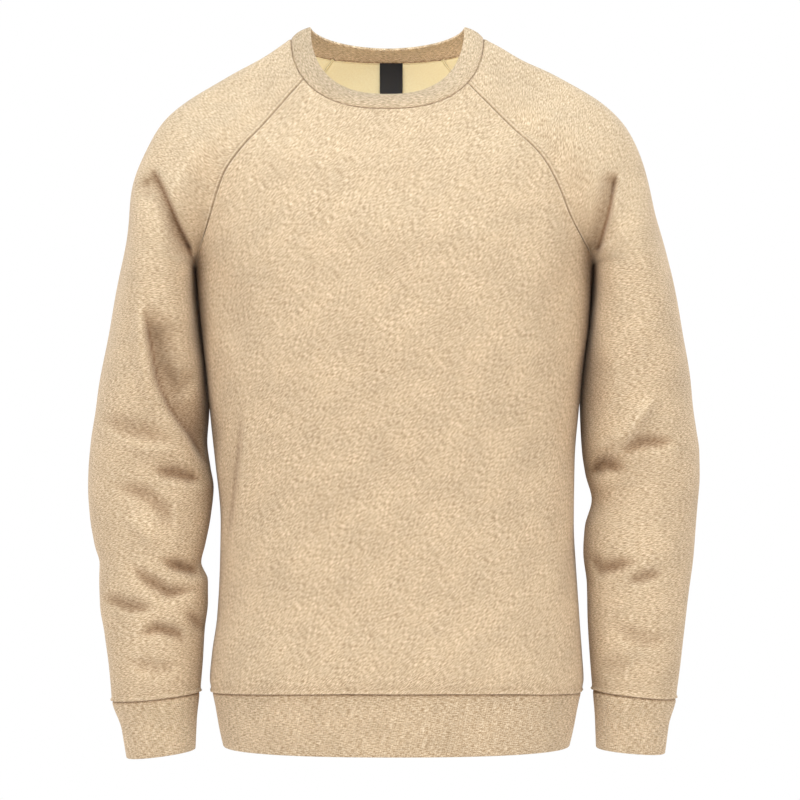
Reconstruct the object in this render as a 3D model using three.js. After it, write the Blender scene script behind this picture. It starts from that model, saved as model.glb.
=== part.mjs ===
// Crewneck sweatshirt with raglan sleeves, in the hollow form that it keeps when worn.
// Millimetres, +Z up, the front faces -Y and the wearer's left is +X.
// The origin is midway between the two places where shoulder and collar meet.
// Every cloth piece is a closed wall: an outer grid of points, an inner grid and the rims.

import * as THREE from "three";

// Walls and gaps
const FLEECE_WALL = 2.0;
const RIB_WALL = 3.0;
const LABEL_WALL = 0.6;
const SEAM_GAP = 0.3;
const LONGEST_MITRE = 2.0;

// Grid counts
const YOKE_ROWS = 11;
const BODY_ROWS = 20;
const ARM_ROWS = 32;
const FRONT_COLUMNS = 18;
const BACK_COLUMNS = 16;
const SLEEVE_COLUMNS = 24;
const BAND_ROWS = 3;

// Stations measured down the raglan seam and on down the sleeve
const UNDERARM = 270;
const CUFF_SEAM = 687;
const CLOSER_TO_UNDERARM = 1.35;

// Neck rings: the seam between collar and body, and the free top edge of the collar
const NECK_X = -5.4;
const NECK_SEAM = {
  halfWidth: 95, frontY: -85, backY: 76, sideZ: 0, frontZ: -76.5, backZ: -14,
  frontPower: 2.45, backPower: 2.2,
};
const NECK_TOP = {
  halfWidth: 75.6, frontY: -74, backY: 59, sideZ: 12, frontZ: -61, backZ: -2,
  frontPower: 2.5, backPower: 1.9,
};
const NECK_SADDLE = 0.12;
const COLLAR_BULGE = 2.2;
const NECK_FADE = 70;

// Body from underarm to hem seam: reach to each side, to the front and to the back
const BODY_POWER = 2.35;
const UNDERARM_Z = -225;
const HEM_SEAM_Z = -642;
const HEM_FRONT_RISE = 7;
const HEM_BOTTOM_Z = -695.5;
const BODY_SECTIONS = [
  { z: -205, right: 197.0, left: 199.5, front: 126.4, back: 119.9 },
  { z: -225, right: 194.0, left: 196.5, front: 127.4, back: 120.4 },
  { z: -250, right: 191.6, left: 194.8, front: 128, back: 120.4 },
  { z: -287, right: 187.8, left: 191.6, front: 127.6, back: 118 },
  { z: -347, right: 181.8, left: 184.2, front: 124, back: 110 },
  { z: -418, right: 174.2, left: 178.2, front: 118, back: 101 },
  { z: -476, right: 169.0, left: 177.4, front: 114, back: 99 },
  { z: -519, right: 169.8, left: 179.5, front: 113, back: 102 },
  { z: -569, right: 172.4, left: 182.8, front: 114, back: 108 },
  { z: -605, right: 177.5, left: 185.6, front: 117, back: 112 },
  { z: -630, right: 179.6, left: 187.2, front: 119, back: 114 },
  { z: -642, right: 177.6, left: 185.0, front: 116, back: 112 },
];
const HEM_SECTIONS = [
  { down: 0.0, right: 177.6, left: 185.0, front: 116, back: 112 },
  { down: 0.2, right: 175.2, left: 182.4, front: 114.5, back: 110 },
  { down: 0.7, right: 170.4, left: 177.2, front: 111, back: 107 },
  { down: 1.0, right: 166.8, left: 173.4, front: 108.5, back: 104.5 },
];

// Front and back centre lines of the yoke, by station
const FRONT_CENTRE = [
  { at: 0, x: -5.4, y: -85, z: -76.5 },
  { at: 90, x: -3, y: -104, z: -122 },
  { at: 180, x: 0, y: -120.5, z: -174 },
  { at: 235, x: 1, y: -126.4, z: -205 },
  { at: 270, x: 1.2, y: -127.4, z: -225 },
  { at: 295, x: 1.4, y: -128, z: -250 },
];
const BACK_CENTRE = [
  { at: 0, x: -5.4, y: 76, z: -14 },
  { at: 90, x: -3, y: 99, z: -83 },
  { at: 180, x: 0, y: 115, z: -155 },
  { at: 235, x: 1, y: 120, z: -198 },
  { at: 270, x: 1.2, y: 120.4, z: -225 },
  { at: 295, x: 1.4, y: 120.4, z: -250 },
];

// How far the chest and back reach to the side, against their reach at the underarm
const REACH = {
  front: [
    { at: 0, share: 0.4846 },
    { at: 64, share: 0.765 },
    { at: 108, share: 0.998 },
    { at: 135, share: 1.0346 },
    { at: 165, share: 1.0336 },
    { at: 200, share: 1.0244 },
    { at: 235, share: 1.012 },
    { at: 256, share: 1.0042 },
    { at: 270, share: 1 },
  ],
  back: [
    { at: 0, share: 0.4584 },
    { at: 60, share: 0.7645 },
    { at: 120, share: 0.973 },
    { at: 170, share: 1.02 },
    { at: 215, share: 1.011 },
    { at: 250, share: 1.0036 },
    { at: 270, share: 1 },
  ],
};

// Raglan seams and the outer line of each shoulder, by station
const RIGHT_SEAMS = {
  front: [
    { at: 0, x: -86.4, z: -47 },
    { at: 64, x: -123, z: -88 },
    { at: 108, x: -149.5, z: -118.5 },
    { at: 132, x: -161.4, z: -136 },
    { at: 153, x: -168.8, z: -155 },
    { at: 189, x: -177.5, z: -184 },
    { at: 221, x: -184.7, z: -203 },
    { at: 254, x: -192.2, z: -220 },
    { at: 270, x: -194, z: -225.5 },
  ],
  outer: [
    { at: 0, x: -100.4, y: 0, z: 0 },
    { at: 64, x: -160.6, y: 3, z: -36.5 },
    { at: 133, x: -221.5, y: 4, z: -78 },
    { at: 156, x: -235.8, y: 3, z: -97.5 },
    { at: 200, x: -253, y: 1, z: -141 },
    { at: 236, x: -259.4, y: 0, z: -180 },
    { at: 270, x: -266, y: 0, z: -219.7 },
    { at: 290, x: -269.6, y: 0, z: -240.5 },
  ],
  back: [
    { at: 0, x: -61.4, z: -11.8 },
    { at: 60, x: -100, z: -62 },
    { at: 120, x: -136, z: -112 },
    { at: 170, x: -160, z: -150 },
    { at: 215, x: -177, z: -186 },
    { at: 250, x: -189.5, z: -212 },
    { at: 270, x: -194, z: -225.5 },
  ],
};
const LEFT_SEAMS = {
  front: [
    { at: 0, x: 72.4, z: -49 },
    { at: 64, x: 112.8, z: -91 },
    { at: 108, x: 144, z: -122.5 },
    { at: 137, x: 158.5, z: -148.4 },
    { at: 175, x: 171.7, z: -181 },
    { at: 213, x: 183.9, z: -202 },
    { at: 250, x: 194, z: -217 },
    { at: 270, x: 196.5, z: -222.6 },
  ],
  outer: [
    { at: 0, x: 89.6, y: 0, z: 0 },
    { at: 67, x: 157.6, y: 3, z: -34.5 },
    { at: 117, x: 202.9, y: 4, z: -61 },
    { at: 149, x: 228, y: 4, z: -87.3 },
    { at: 175, x: 240.3, y: 3, z: -112.3 },
    { at: 228, x: 256.8, y: 1, z: -170.4 },
    { at: 270, x: 269.6, y: 0, z: -219.7 },
    { at: 290, x: 275.4, y: 0, z: -241 },
  ],
  back: [
    { at: 0, x: 50.6, z: -11.8 },
    { at: 60, x: 90, z: -62 },
    { at: 120, x: 129, z: -112 },
    { at: 170, x: 156, z: -150 },
    { at: 215, x: 176, z: -185 },
    { at: 250, x: 191, z: -210 },
    { at: 270, x: 196.5, z: -222.6 },
  ],
};

// Sleeve below the underarm: the two silhouette points of each section, by station
const RIGHT_ARM = [
  { at: 236, innerX: -194.4, innerZ: -191.5, outerX: -259.4, outerZ: -180.0 },
  { at: 270, innerX: -194.0, innerZ: -225.5, outerX: -266.0, outerZ: -219.7 },
  { at: 290, innerX: -193.4, innerZ: -245.5, outerX: -269.6, outerZ: -240.5 },
  { at: 331, innerX: -189.4, innerZ: -286.7, outerX: -277.3, outerZ: -281.7 },
  { at: 380, innerX: -183.6, innerZ: -335.9, outerX: -288.6, outerZ: -340.8 },
  { at: 410, innerX: -182.8, innerZ: -365.5, outerX: -292.6, outerZ: -365.5 },
  { at: 439, innerX: -184.2, innerZ: -395.0, outerX: -297.5, outerZ: -395.0 },
  { at: 467, innerX: -180.4, innerZ: -422.6, outerX: -299.5, outerZ: -422.6 },
  { at: 486, innerX: -177.2, innerZ: -441.3, outerX: -300.0, outerZ: -443.3 },
  { at: 513, innerX: -180.0, innerZ: -468.9, outerX: -298.5, outerZ: -468.9 },
  { at: 543, innerX: -185.6, innerZ: -498.4, outerX: -292.6, outerZ: -498.4 },
  { at: 560, innerX: -189.2, innerZ: -515.2, outerX: -287.2, outerZ: -516.2 },
  { at: 577, innerX: -182.4, innerZ: -532.9, outerX: -287.6, outerZ: -535.9 },
  { at: 597, innerX: -182.4, innerZ: -552.6, outerX: -287.6, outerZ: -556.5 },
  { at: 627, innerX: -185.8, innerZ: -582.2, outerX: -283.5, outerZ: -584.2 },
  { at: 656, innerX: -187.4, innerZ: -611.7, outerX: -278.6, outerZ: -616.6 },
  { at: 687, innerX: -190.0, innerZ: -642.2, outerX: -275.8, outerZ: -651.1 },
];
const LEFT_ARM = [
  { at: 228, innerX: 197.0, innerZ: -180.6, outerX: 256.8, outerZ: -170.4 },
  { at: 270, innerX: 196.5, innerZ: -222.6, outerX: 269.6, outerZ: -219.7 },
  { at: 290, innerX: 196.0, innerZ: -242.6, outerX: 275.4, outerZ: -241.0 },
  { at: 334, innerX: 192.4, innerZ: -286.7, outerX: 284.8, outerZ: -286.7 },
  { at: 378, innerX: 187.0, innerZ: -331.0, outerX: 291.4, outerZ: -331.0 },
  { at: 403, innerX: 185.6, innerZ: -355.6, outerX: 294.5, outerZ: -355.6 },
  { at: 433, innerX: 186.0, innerZ: -385.2, outerX: 299.0, outerZ: -385.2 },
  { at: 453, innerX: 187.0, innerZ: -405.8, outerX: 301.0, outerZ: -405.8 },
  { at: 477, innerX: 190.4, innerZ: -429.5, outerX: 301.0, outerZ: -430.5 },
  { at: 500, innerX: 196.4, innerZ: -453.5, outerX: 299.6, outerZ: -455.0 },
  { at: 528, innerX: 189.4, innerZ: -480.7, outerX: 297.2, outerZ: -483.7 },
  { at: 553, innerX: 187.8, innerZ: -505.3, outerX: 294.8, outerZ: -505.3 },
  { at: 584, innerX: 191.2, innerZ: -536.8, outerX: 290.2, outerZ: -538.8 },
  { at: 617, innerX: 191.8, innerZ: -569.3, outerX: 287.2, outerZ: -572.3 },
  { at: 654, innerX: 193.8, innerZ: -606.8, outerX: 283.0, outerZ: -606.8 },
  { at: 687, innerX: 196.3, innerZ: -640.3, outerX: 278.0, outerZ: -648.5 },
];

// How far forward and back each sleeve section reaches, and the depth of its inner and outer line
const ARM_DEPTH = [
  { at: 0, front: -26, back: 36, inner: 0, outer: 0 },
  { at: 64, front: -45, back: 52, inner: 3, outer: 3 },
  { at: 108, front: -60, back: 66, inner: 4, outer: 4 },
  { at: 150, front: -74, back: 77, inner: 3, outer: 3 },
  { at: 190, front: -84, back: 85, inner: 2, outer: 2 },
  { at: 230, front: -90, back: 89, inner: 0, outer: 0 },
  { at: 270, front: -92, back: 91, inner: 0, outer: 0 },
  { at: 296, front: -90, back: 91, inner: 14, outer: 1 },
  { at: 331, front: -87, back: 90, inner: 25, outer: 1 },
  { at: 380, front: -81, back: 86, inner: 26, outer: 2 },
  { at: 420, front: -75, back: 81, inner: 16, outer: 3 },
  { at: 450, front: -71, back: 76, inner: 6, outer: 3 },
  { at: 486, front: -66, back: 70, inner: 1, outer: 1 },
  { at: 543, front: -63, back: 58, inner: -3, outer: -3 },
  { at: 597, front: -61, back: 48, inner: -7, outer: -7 },
  { at: 656, front: -56, back: 38, inner: -9, outer: -9 },
  { at: 687, front: -50, back: 32, inner: -9, outer: -9 },
];
const SLEEVE_FULLNESS = 0.58;
const VALLEY_STARTS = 190;

// Cuffs: silhouette points at the free edge and how much the band is bowed
const RIGHT_CUFF = { innerX: -194.0, innerZ: -698.5, outerX: -261.5, outerZ: -707.0 };
const LEFT_CUFF = { innerX: 199.4, innerZ: -697.0, outerX: 267.0, outerZ: -702.5 };
const CUFF_DEPTH = { front: -43, back: 25, middle: -9 };
const CUFF_TURN_IN = 0.35;

// Neck label, hanging inside the back from the collar seam
const LABEL = { x: -2, halfWidth: 11.5, topAt: 3, bottomAt: 48, columns: 4, rows: 5, clear: 0.35 };

// Folds drawn in the front view. Depth goes into the cloth, so a ridge has a minus sign.
// A lap has a full step on one side: its cloth is low on the side that its sign names.
const FOLDS = [
  { name: "right_armpit_lap", face: "front", depth: 11, width: 26, lap: 1,
    path: [[-233, -134], [-211, -176], [-196, -214]] },
  { name: "right_elbow_lap", face: "front", depth: 14, width: 34, lap: -1,
    path: [[-238, -262], [-233, -298], [-226, -338], [-215, -364], [-197, -392], [-180, -420]] },
  { name: "right_elbow_line", face: "front", depth: 6, width: 12, lap: 0,
    path: [[-231, -424], [-180, -434]] },
  { name: "right_upper_bend", face: "front", depth: 5, width: 13, lap: 0,
    path: [[-285, -375], [-240, -391], [-202, -403]] },
  { name: "right_lower_bend", face: "front", depth: 4.5, width: 13, lap: 0,
    path: [[-272, -438], [-229, -454], [-212, -492]] },
  { name: "right_wrist_line", face: "front", depth: 7, width: 12, lap: 0,
    path: [[-224, -512], [-181, -529]] },
  { name: "right_wrist_bend", face: "front", depth: 4.5, width: 12, lap: 0,
    path: [[-255, -515], [-234, -532], [-215, -542], [-186, -541]] },
  { name: "right_wrist_outer", face: "front", depth: 4.5, width: 12, lap: 0,
    path: [[-282, -548], [-228, -558]] },
  { name: "right_wrist_arch", face: "front", depth: 4.5, width: 12, lap: 0,
    path: [[-246, -583], [-227, -576], [-210, -581], [-198, -594]] },
  { name: "left_armpit_lap", face: "front", depth: 11, width: 24, lap: 1,
    path: [[216, -134], [209, -166], [198, -212]] },
  { name: "left_inner_hollow", face: "front", depth: 6, width: 18, lap: 0,
    path: [[196, -292], [193, -345], [192, -392]] },
  { name: "left_elbow_ridge", face: "front", depth: -6, width: 14, lap: 0,
    path: [[252, -352], [212, -399], [189, -404]] },
  { name: "left_elbow_bend", face: "front", depth: 5, width: 12, lap: 0,
    path: [[216, -404], [238, -395], [275, -397]] },
  { name: "left_elbow_line", face: "front", depth: 8, width: 12, lap: 0,
    path: [[188, -429], [207, -416], [224, -421]] },
  { name: "left_wrist_bend", face: "front", depth: 5, width: 13, lap: 0,
    path: [[190, -500], [202, -520], [236, -512]] },
  { name: "left_wrist_outer", face: "front", depth: 4, width: 12, lap: 0,
    path: [[225, -531], [262, -523]] },
  { name: "right_back_armpit", face: "back", depth: 8, width: 20, lap: 0,
    path: [[-232, -130], [-212, -180], [-196, -222]] },
  { name: "right_back_elbow", face: "back", depth: 6, width: 15, lap: 0,
    path: [[-288, -402], [-240, -418], [-192, -410]] },
  { name: "right_back_elbow_low", face: "back", depth: 5, width: 13, lap: 0,
    path: [[-280, -456], [-236, -466], [-196, -452]] },
  { name: "right_back_wrist", face: "back", depth: 5, width: 13, lap: 0,
    path: [[-276, -540], [-236, -556], [-194, -546]] },
  { name: "left_back_armpit", face: "back", depth: 8, width: 20, lap: 0,
    path: [[232, -126], [214, -176], [198, -218]] },
  { name: "left_back_elbow", face: "back", depth: 6, width: 15, lap: 0,
    path: [[290, -388], [244, -412], [196, -406]] },
  { name: "left_back_elbow_low", face: "back", depth: 5, width: 13, lap: 0,
    path: [[286, -452], [240, -458], [200, -442]] },
  { name: "left_back_wrist", face: "back", depth: 5, width: 13, lap: 0,
    path: [[282, -548], [240, -560], [200, -548]] },
  { name: "front_right_pull", face: "front", depth: 4, width: 24, lap: 0,
    path: [[-176, -216], [-152, -262], [-146, -320]] },
  { name: "front_left_pull", face: "front", depth: 4, width: 24, lap: 0,
    path: [[178, -214], [156, -258], [152, -316]] },
  { name: "front_right_side", face: "front", depth: -3, width: 20, lap: 0,
    path: [[-141, -352], [-148, -430], [-156, -500]] },
  { name: "front_left_side", face: "front", depth: -3, width: 20, lap: 0,
    path: [[150, -352], [152, -440], [160, -560]] },
  { name: "back_waist_right", face: "back", depth: 4, width: 22, lap: 0,
    path: [[-150, -330], [-120, -420], [-96, -440]] },
  { name: "back_waist_left", face: "back", depth: 4, width: 22, lap: 0,
    path: [[156, -340], [128, -430], [100, -452]] },
];
const LAP_EDGE = 10;
const FOLD_ENDS = 0.3;

const COLOURS = { fleece: 0xc9b08b, rib: 0xc4aa84, label: 0x1c1a1b };

const mix = (a, b, share) => a + (b - a) * share;
const clamp = (value, low, high) => Math.min(high, Math.max(low, value));
const ease = (value) => {
  const part = clamp(value, 0, 1);
  return part * part * (3 - 2 * part);
};
const spread = (count) => Array.from({ length: count + 1 }, (_, i) => i / count);

// Slope of a column at one row, zero where the column turns, so that no value overshoots.
function slopeAt(table, key, name, row) {
  const step = (i) => table[i + 1][key] - table[i][key];
  const rate = (i) => (table[i + 1][name] - table[i][name]) / step(i);
  if (row === 0) return rate(0);
  if (row === table.length - 1) return rate(row - 1);
  const before = rate(row - 1);
  const after = rate(row);
  if (before * after <= 0) return 0;
  const weightBefore = 2 * Math.abs(step(row)) + Math.abs(step(row - 1));
  const weightAfter = Math.abs(step(row)) + 2 * Math.abs(step(row - 1));
  return (weightBefore + weightAfter) / (weightBefore / before + weightAfter / after);
}

// One column of a table at a place between its rows, as a smooth cubic.
function lookUp(table, key, name, place) {
  const rising = table[table.length - 1][key] > table[0][key];
  let row = 0;
  while (row < table.length - 2 &&
         (rising ? place > table[row + 1][key] : place < table[row + 1][key])) row += 1;
  const length = table[row + 1][key] - table[row][key];
  const t = clamp((place - table[row][key]) / length, 0, 1);
  const rest = 1 - t;
  return table[row][name] * (1 + 2 * t) * rest * rest +
    table[row + 1][name] * (3 - 2 * t) * t * t +
    slopeAt(table, key, name, row) * length * t * rest * rest -
    slopeAt(table, key, name, row + 1) * length * t * t * rest;
}

const pointAt = (table, at) => new THREE.Vector3(
  lookUp(table, "at", "x", at), lookUp(table, "at", "y", at), lookUp(table, "at", "z", at));

const centreAt = (face, at) => pointAt(face === "front" ? FRONT_CENTRE : BACK_CENTRE, at);

// Raglan seam point. Its depth is where the panel's superellipse passes the seam's x.
function seamPoint(seams, face, at) {
  const rows = seams[face];
  const centre = centreAt(face, at);
  const x = lookUp(rows, "at", "x", at);
  const full = Math.abs(lookUp(rows, "at", "x", UNDERARM) - centreAt(face, UNDERARM).x);
  const share = Math.abs(x - centre.x) / (full * lookUp(REACH[face], "at", "share", at));
  const deep = at < UNDERARM ? (1 - Math.min(share, 1) ** BODY_POWER) ** (1 / BODY_POWER) : 0;
  return new THREE.Vector3(x, centre.y * deep, lookUp(rows, "at", "z", at));
}

// Share of the way down from the side of the neck, level at the side itself.
const saddle = (deep) =>
  (Math.hypot(deep, NECK_SADDLE) - NECK_SADDLE) / (Math.hypot(1, NECK_SADDLE) - NECK_SADDLE);

// Point of a neck ring. The angle is 0 at the wearer's left, a quarter turn at the back.
function neckPoint(ring, angle) {
  const isFront = Math.sin(angle) < 0;
  const power = 2 / (isFront ? ring.frontPower : ring.backPower);
  const across = Math.sign(Math.cos(angle)) * Math.abs(Math.cos(angle)) ** power;
  const deep = Math.abs(Math.sin(angle)) ** power;
  return new THREE.Vector3(
    NECK_X + ring.halfWidth * across,
    (isFront ? ring.frontY : ring.backY) * deep,
    mix(ring.sideZ, isFront ? ring.frontZ : ring.backZ, saddle(deep)));
}

// Angle at which a neck ring passes a given x, on its front or its back half.
function neckAngle(ring, x, isFront) {
  const power = (isFront ? ring.frontPower : ring.backPower) / 2;
  const across = clamp((x - NECK_X) / ring.halfWidth, -1, 1);
  const turn = Math.acos(Math.sign(across) * Math.abs(across) ** power);
  return isFront ? -turn : turn;
}

// Half row of a body panel: a superellipse from the centre line, cut off at its edge point.
function bodyRow(centre, edge, power, share) {
  const reach = Math.abs(edge.x - centre.x);
  const depthShare = clamp(edge.y / centre.y, 0, 0.999);
  const cut = (1 - depthShare ** power) ** (1 / power);
  const endTurn = Math.asin(Math.min(1, cut ** (power / 2)));
  const turn = share * endTurn;
  const across = Math.sin(turn) ** (2 / power) / cut;
  const deep = Math.abs(Math.cos(turn)) ** (2 / power);
  return new THREE.Vector3(
    centre.x + Math.sign(edge.x - centre.x) * reach * across,
    share === 1 ? edge.y : centre.y * deep,
    mix(centre.z, edge.z, across ** 3));
}

// Front or back panel point above the underarm: station down the raglan seam, side share -1 to 1.
function yokePoint(face, at, side) {
  const seams = side < 0 ? RIGHT_SEAMS : LEFT_SEAMS;
  const rowPoint = (station) =>
    bodyRow(centreAt(face, station), seamPoint(seams, face, station), BODY_POWER, Math.abs(side));
  const top = rowPoint(0);
  const neck = neckPoint(NECK_SEAM, neckAngle(NECK_SEAM, top.x, face === "front"));
  return rowPoint(at).addScaledVector(neck.sub(top), 1 - ease(at / NECK_FADE));
}

// Body panel point below the underarm: height of the row and side share -1 to 1.
function bodyPoint(face, z, side) {
  const right = lookUp(BODY_SECTIONS, "z", "right", z);
  const left = lookUp(BODY_SECTIONS, "z", "left", z);
  const depth = lookUp(BODY_SECTIONS, "z", face, z) * (face === "front" ? -1 : 1);
  const down = clamp((z - UNDERARM_Z) / (HEM_SEAM_Z - UNDERARM_Z), 0, 1);
  const armpitZ = lookUp(side < 0 ? RIGHT_ARM : LEFT_ARM, "at", "innerZ", UNDERARM);
  const edgeZ = z + (armpitZ - UNDERARM_Z) * (1 - down);
  const centre = new THREE.Vector3((left - right) / 2, depth, z + HEM_FRONT_RISE * down);
  const edge = new THREE.Vector3(side < 0 ? -right : left, 0, edgeZ);
  return bodyRow(centre, edge, BODY_POWER, Math.abs(side));
}

// Cubic between two points with given directions. Each handle is a share of the step along it.
function arcPoint(start, startWay, end, endWay, share) {
  const step = end.clone().sub(start);
  const first = startWay.clone().multiplyScalar(SLEEVE_FULLNESS * Math.abs(step.dot(startWay)));
  const last = endWay.clone().multiplyScalar(SLEEVE_FULLNESS * Math.abs(step.dot(endWay)));
  const rest = 1 - share;
  const point = start.clone().multiplyScalar(rest ** 3);
  point.addScaledVector(start.clone().add(first), 3 * rest * rest * share);
  point.addScaledVector(end.clone().sub(last), 3 * rest * share * share);
  return point.addScaledVector(end, share ** 3);
}

// The named points of one sleeve section: front seam, arm front, outer line, arm back, back seam.
function sleeveSection(side, at) {
  const seams = side === "right" ? RIGHT_SEAMS : LEFT_SEAMS;
  const arm = side === "right" ? RIGHT_ARM : LEFT_ARM;
  let frontSeam;
  let backSeam;
  let outer;
  if (at < UNDERARM) {
    frontSeam = seamPoint(seams, "front", at);
    backSeam = seamPoint(seams, "back", at);
    outer = pointAt(seams.outer, at);
  } else {
    const linePoint = (line) => new THREE.Vector3(lookUp(arm, "at", `${line}X`, at),
      lookUp(ARM_DEPTH, "at", line, at), lookUp(arm, "at", `${line}Z`, at));
    frontSeam = linePoint("inner");
    backSeam = frontSeam.clone();
    outer = linePoint("outer");
  }
  const armFront = frontSeam.clone().lerp(outer, 0.5);
  armFront.y = lookUp(ARM_DEPTH, "at", "front", at);
  const armBack = backSeam.clone().lerp(outer, 0.5);
  armBack.y = lookUp(ARM_DEPTH, "at", "back", at);
  return { frontSeam, armFront, outer, armBack, backSeam };
}

// How far the armpit's valley has formed, from 0 above it to 1 at the underarm.
const valleyShare = (at) => ease((at - VALLEY_STARTS) / (UNDERARM - VALLEY_STARTS));

// Direction in which the sleeve leaves its seam: level with the chest at the neck, then forward.
function seamWay(side, face, at) {
  const forward = new THREE.Vector3(0, face === "front" ? -1 : 1, 0);
  if (at >= UNDERARM) return forward;
  const sign = side === "right" ? -1 : 1;
  const edge = yokePoint(face, at, sign);
  const chest = edge.clone().sub(yokePoint(face, at, sign * 0.93)).normalize();
  return chest.lerp(forward, valleyShare(at)).normalize();
}

// Point of a sleeve section, from the front seam (0) over the outer line (0.5) to the back seam.
function ringPoint(section, ways, share) {
  const stops = [section.frontSeam, section.armFront, section.outer, section.armBack,
    section.backSeam];
  const scaled = clamp(share, 0, 1) * 4;
  const quarter = Math.min(3, Math.floor(scaled));
  return arcPoint(stops[quarter], ways[quarter], stops[quarter + 1], ways[quarter + 1],
    scaled - quarter);
}

// Directions at a section's five stops. Tilt is how much the two flanks follow the seam's depth.
function ringWays(section, frontWay, backWay, tilt) {
  const flank = (from, to) => {
    const way = to.clone().sub(from);
    way.y *= tilt;
    return way.normalize();
  };
  return [
    frontWay,
    flank(section.frontSeam, section.outer),
    section.armBack.clone().sub(section.armFront).normalize(),
    flank(section.outer, section.backSeam),
    backWay.clone().negate(),
  ];
}

function sleevePoint(side, at, share) {
  const section = sleeveSection(side, at);
  const ways = ringWays(section, seamWay(side, "front", at), seamWay(side, "back", at),
    1 - valleyShare(at));
  const point = ringPoint(section, ways, share);
  if (at >= NECK_FADE) return point;
  const topSection = sleeveSection(side, 0);
  const topWays = ringWays(topSection, seamWay(side, "front", 0), seamWay(side, "back", 0), 1);
  const top = ringPoint(topSection, topWays, share);
  const frontAngle = neckAngle(NECK_SEAM, topSection.frontSeam.x, true);
  const backAngle = neckAngle(NECK_SEAM, topSection.backSeam.x, false);
  const start = side === "right" ? frontAngle + 2 * Math.PI : frontAngle;
  const neck = neckPoint(NECK_SEAM, mix(start, backAngle, share));
  return point.addScaledVector(neck.sub(top), 1 - ease(at / NECK_FADE));
}

// Cuff point: share down the band and share round it.
function cuffPoint(side, down, share) {
  const top = sleeveSection(side, CUFF_SEAM);
  const free = side === "right" ? RIGHT_CUFF : LEFT_CUFF;
  const inner = new THREE.Vector3(free.innerX, CUFF_DEPTH.middle, free.innerZ);
  const outer = new THREE.Vector3(free.outerX, CUFF_DEPTH.middle, free.outerZ);
  const armFront = inner.clone().lerp(outer, 0.5).setY(CUFF_DEPTH.front);
  const armBack = inner.clone().lerp(outer, 0.5).setY(CUFF_DEPTH.back);
  const bottom = { frontSeam: inner, armFront, outer, armBack, backSeam: inner.clone() };
  const section = {};
  const narrowed = mix(down, ease(down * 2), CUFF_TURN_IN);
  for (const stop of Object.keys(top)) {
    section[stop] = top[stop].clone().lerp(bottom[stop], narrowed);
    section[stop].z = mix(top[stop].z, bottom[stop].z, down);
  }
  const forward = new THREE.Vector3(0, -1, 0);
  return ringPoint(section, ringWays(section, forward, forward.clone().negate(), 0), share);
}

// Hem band point: share down the band, front or back, side share -1 to 1.
function hemPoint(down, face, side) {
  const right = lookUp(HEM_SECTIONS, "down", "right", down);
  const left = lookUp(HEM_SECTIONS, "down", "left", down);
  const depth = lookUp(HEM_SECTIONS, "down", face, down) * (face === "front" ? -1 : 1);
  const centreZ = mix(HEM_SEAM_Z + HEM_FRONT_RISE, HEM_BOTTOM_Z, down);
  const centre = new THREE.Vector3((left - right) / 2, depth, centreZ);
  const edge = new THREE.Vector3(side < 0 ? -right : left, 0,
    mix(HEM_SEAM_Z, HEM_BOTTOM_Z, down));
  return bodyRow(centre, edge, BODY_POWER, Math.abs(side));
}

// Collar point: from the seam ring up to the free edge, bowed outward between them.
function collarPoint(seamPoint, angle, up) {
  const top = neckPoint(NECK_TOP, angle);
  const point = seamPoint.clone().lerp(top, up);
  const outward = new THREE.Vector3(point.x - NECK_X, point.y, 0).normalize();
  outward.z = 0.7;
  return point.addScaledVector(outward.normalize(), COLLAR_BULGE * Math.sin(Math.PI * up));
}

// Signed distance to a path in the front view, and the share along it of the nearest place.
function nearPath(path, x, z) {
  const lengths = path.slice(1).map((end, i) => Math.hypot(end[0] - path[i][0], end[1] - path[i][1]));
  const total = lengths.reduce((sum, length) => sum + length, 0);
  let best = { distance: Infinity, along: 0, side: 1 };
  let walked = 0;
  for (let i = 0; i < lengths.length; i += 1) {
    const wayX = (path[i + 1][0] - path[i][0]) / lengths[i];
    const wayZ = (path[i + 1][1] - path[i][1]) / lengths[i];
    const offX = x - path[i][0];
    const offZ = z - path[i][1];
    const run = clamp(offX * wayX + offZ * wayZ, 0, lengths[i]);
    const distance = Math.hypot(offX - run * wayX, offZ - run * wayZ);
    if (distance < best.distance) {
      const side = Math.sign(wayX * offZ - wayZ * offX) || 1;
      best = { distance, along: (walked + run) / total, side };
    }
    walked += lengths[i];
  }
  return best;
}

// How far one fold moves a point into the cloth, straight forward or back.
function foldDepth(fold, point, normal) {
  const facing = ease((fold.face === "front" ? -normal.y : normal.y) / 0.3);
  if (facing === 0) return 0;
  const near = nearPath(fold.path, point.x, point.z);
  const ends = ease(Math.min(near.along, 1 - near.along) / FOLD_ENDS + 0.15);
  const signed = near.distance * near.side * (fold.lap || 1);
  const reach = fold.lap !== 0 && signed > 0 ? LAP_EDGE : fold.width;
  return fold.depth * facing * ends * (1 - ease(near.distance / reach));
}

// Grids: rows of outer points. A piece may close on itself, and a sleeve closes below its slit.
const yokeStations = spread(YOKE_ROWS).map((share) =>
  UNDERARM * (1 - (1 - share) ** CLOSER_TO_UNDERARM));
const bodyHeights = spread(BODY_ROWS).slice(1).map((share) =>
  mix(UNDERARM_Z, HEM_SEAM_Z, share));
const armStations = spread(ARM_ROWS).slice(1).map((share) => mix(UNDERARM, CUFF_SEAM, share));

function panelGrid(face, columns) {
  const sides = spread(columns).map((share) => share * 2 - 1);
  return [
    ...yokeStations.map((at) => sides.map((side) => yokePoint(face, at, side))),
    ...bodyHeights.map((z) => sides.map((side) => bodyPoint(face, z, side))),
  ];
}

function sleeveGrid(side) {
  return [...yokeStations, ...armStations].map((at) =>
    spread(SLEEVE_COLUMNS).map((share) => sleevePoint(side, at, share)));
}

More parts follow.
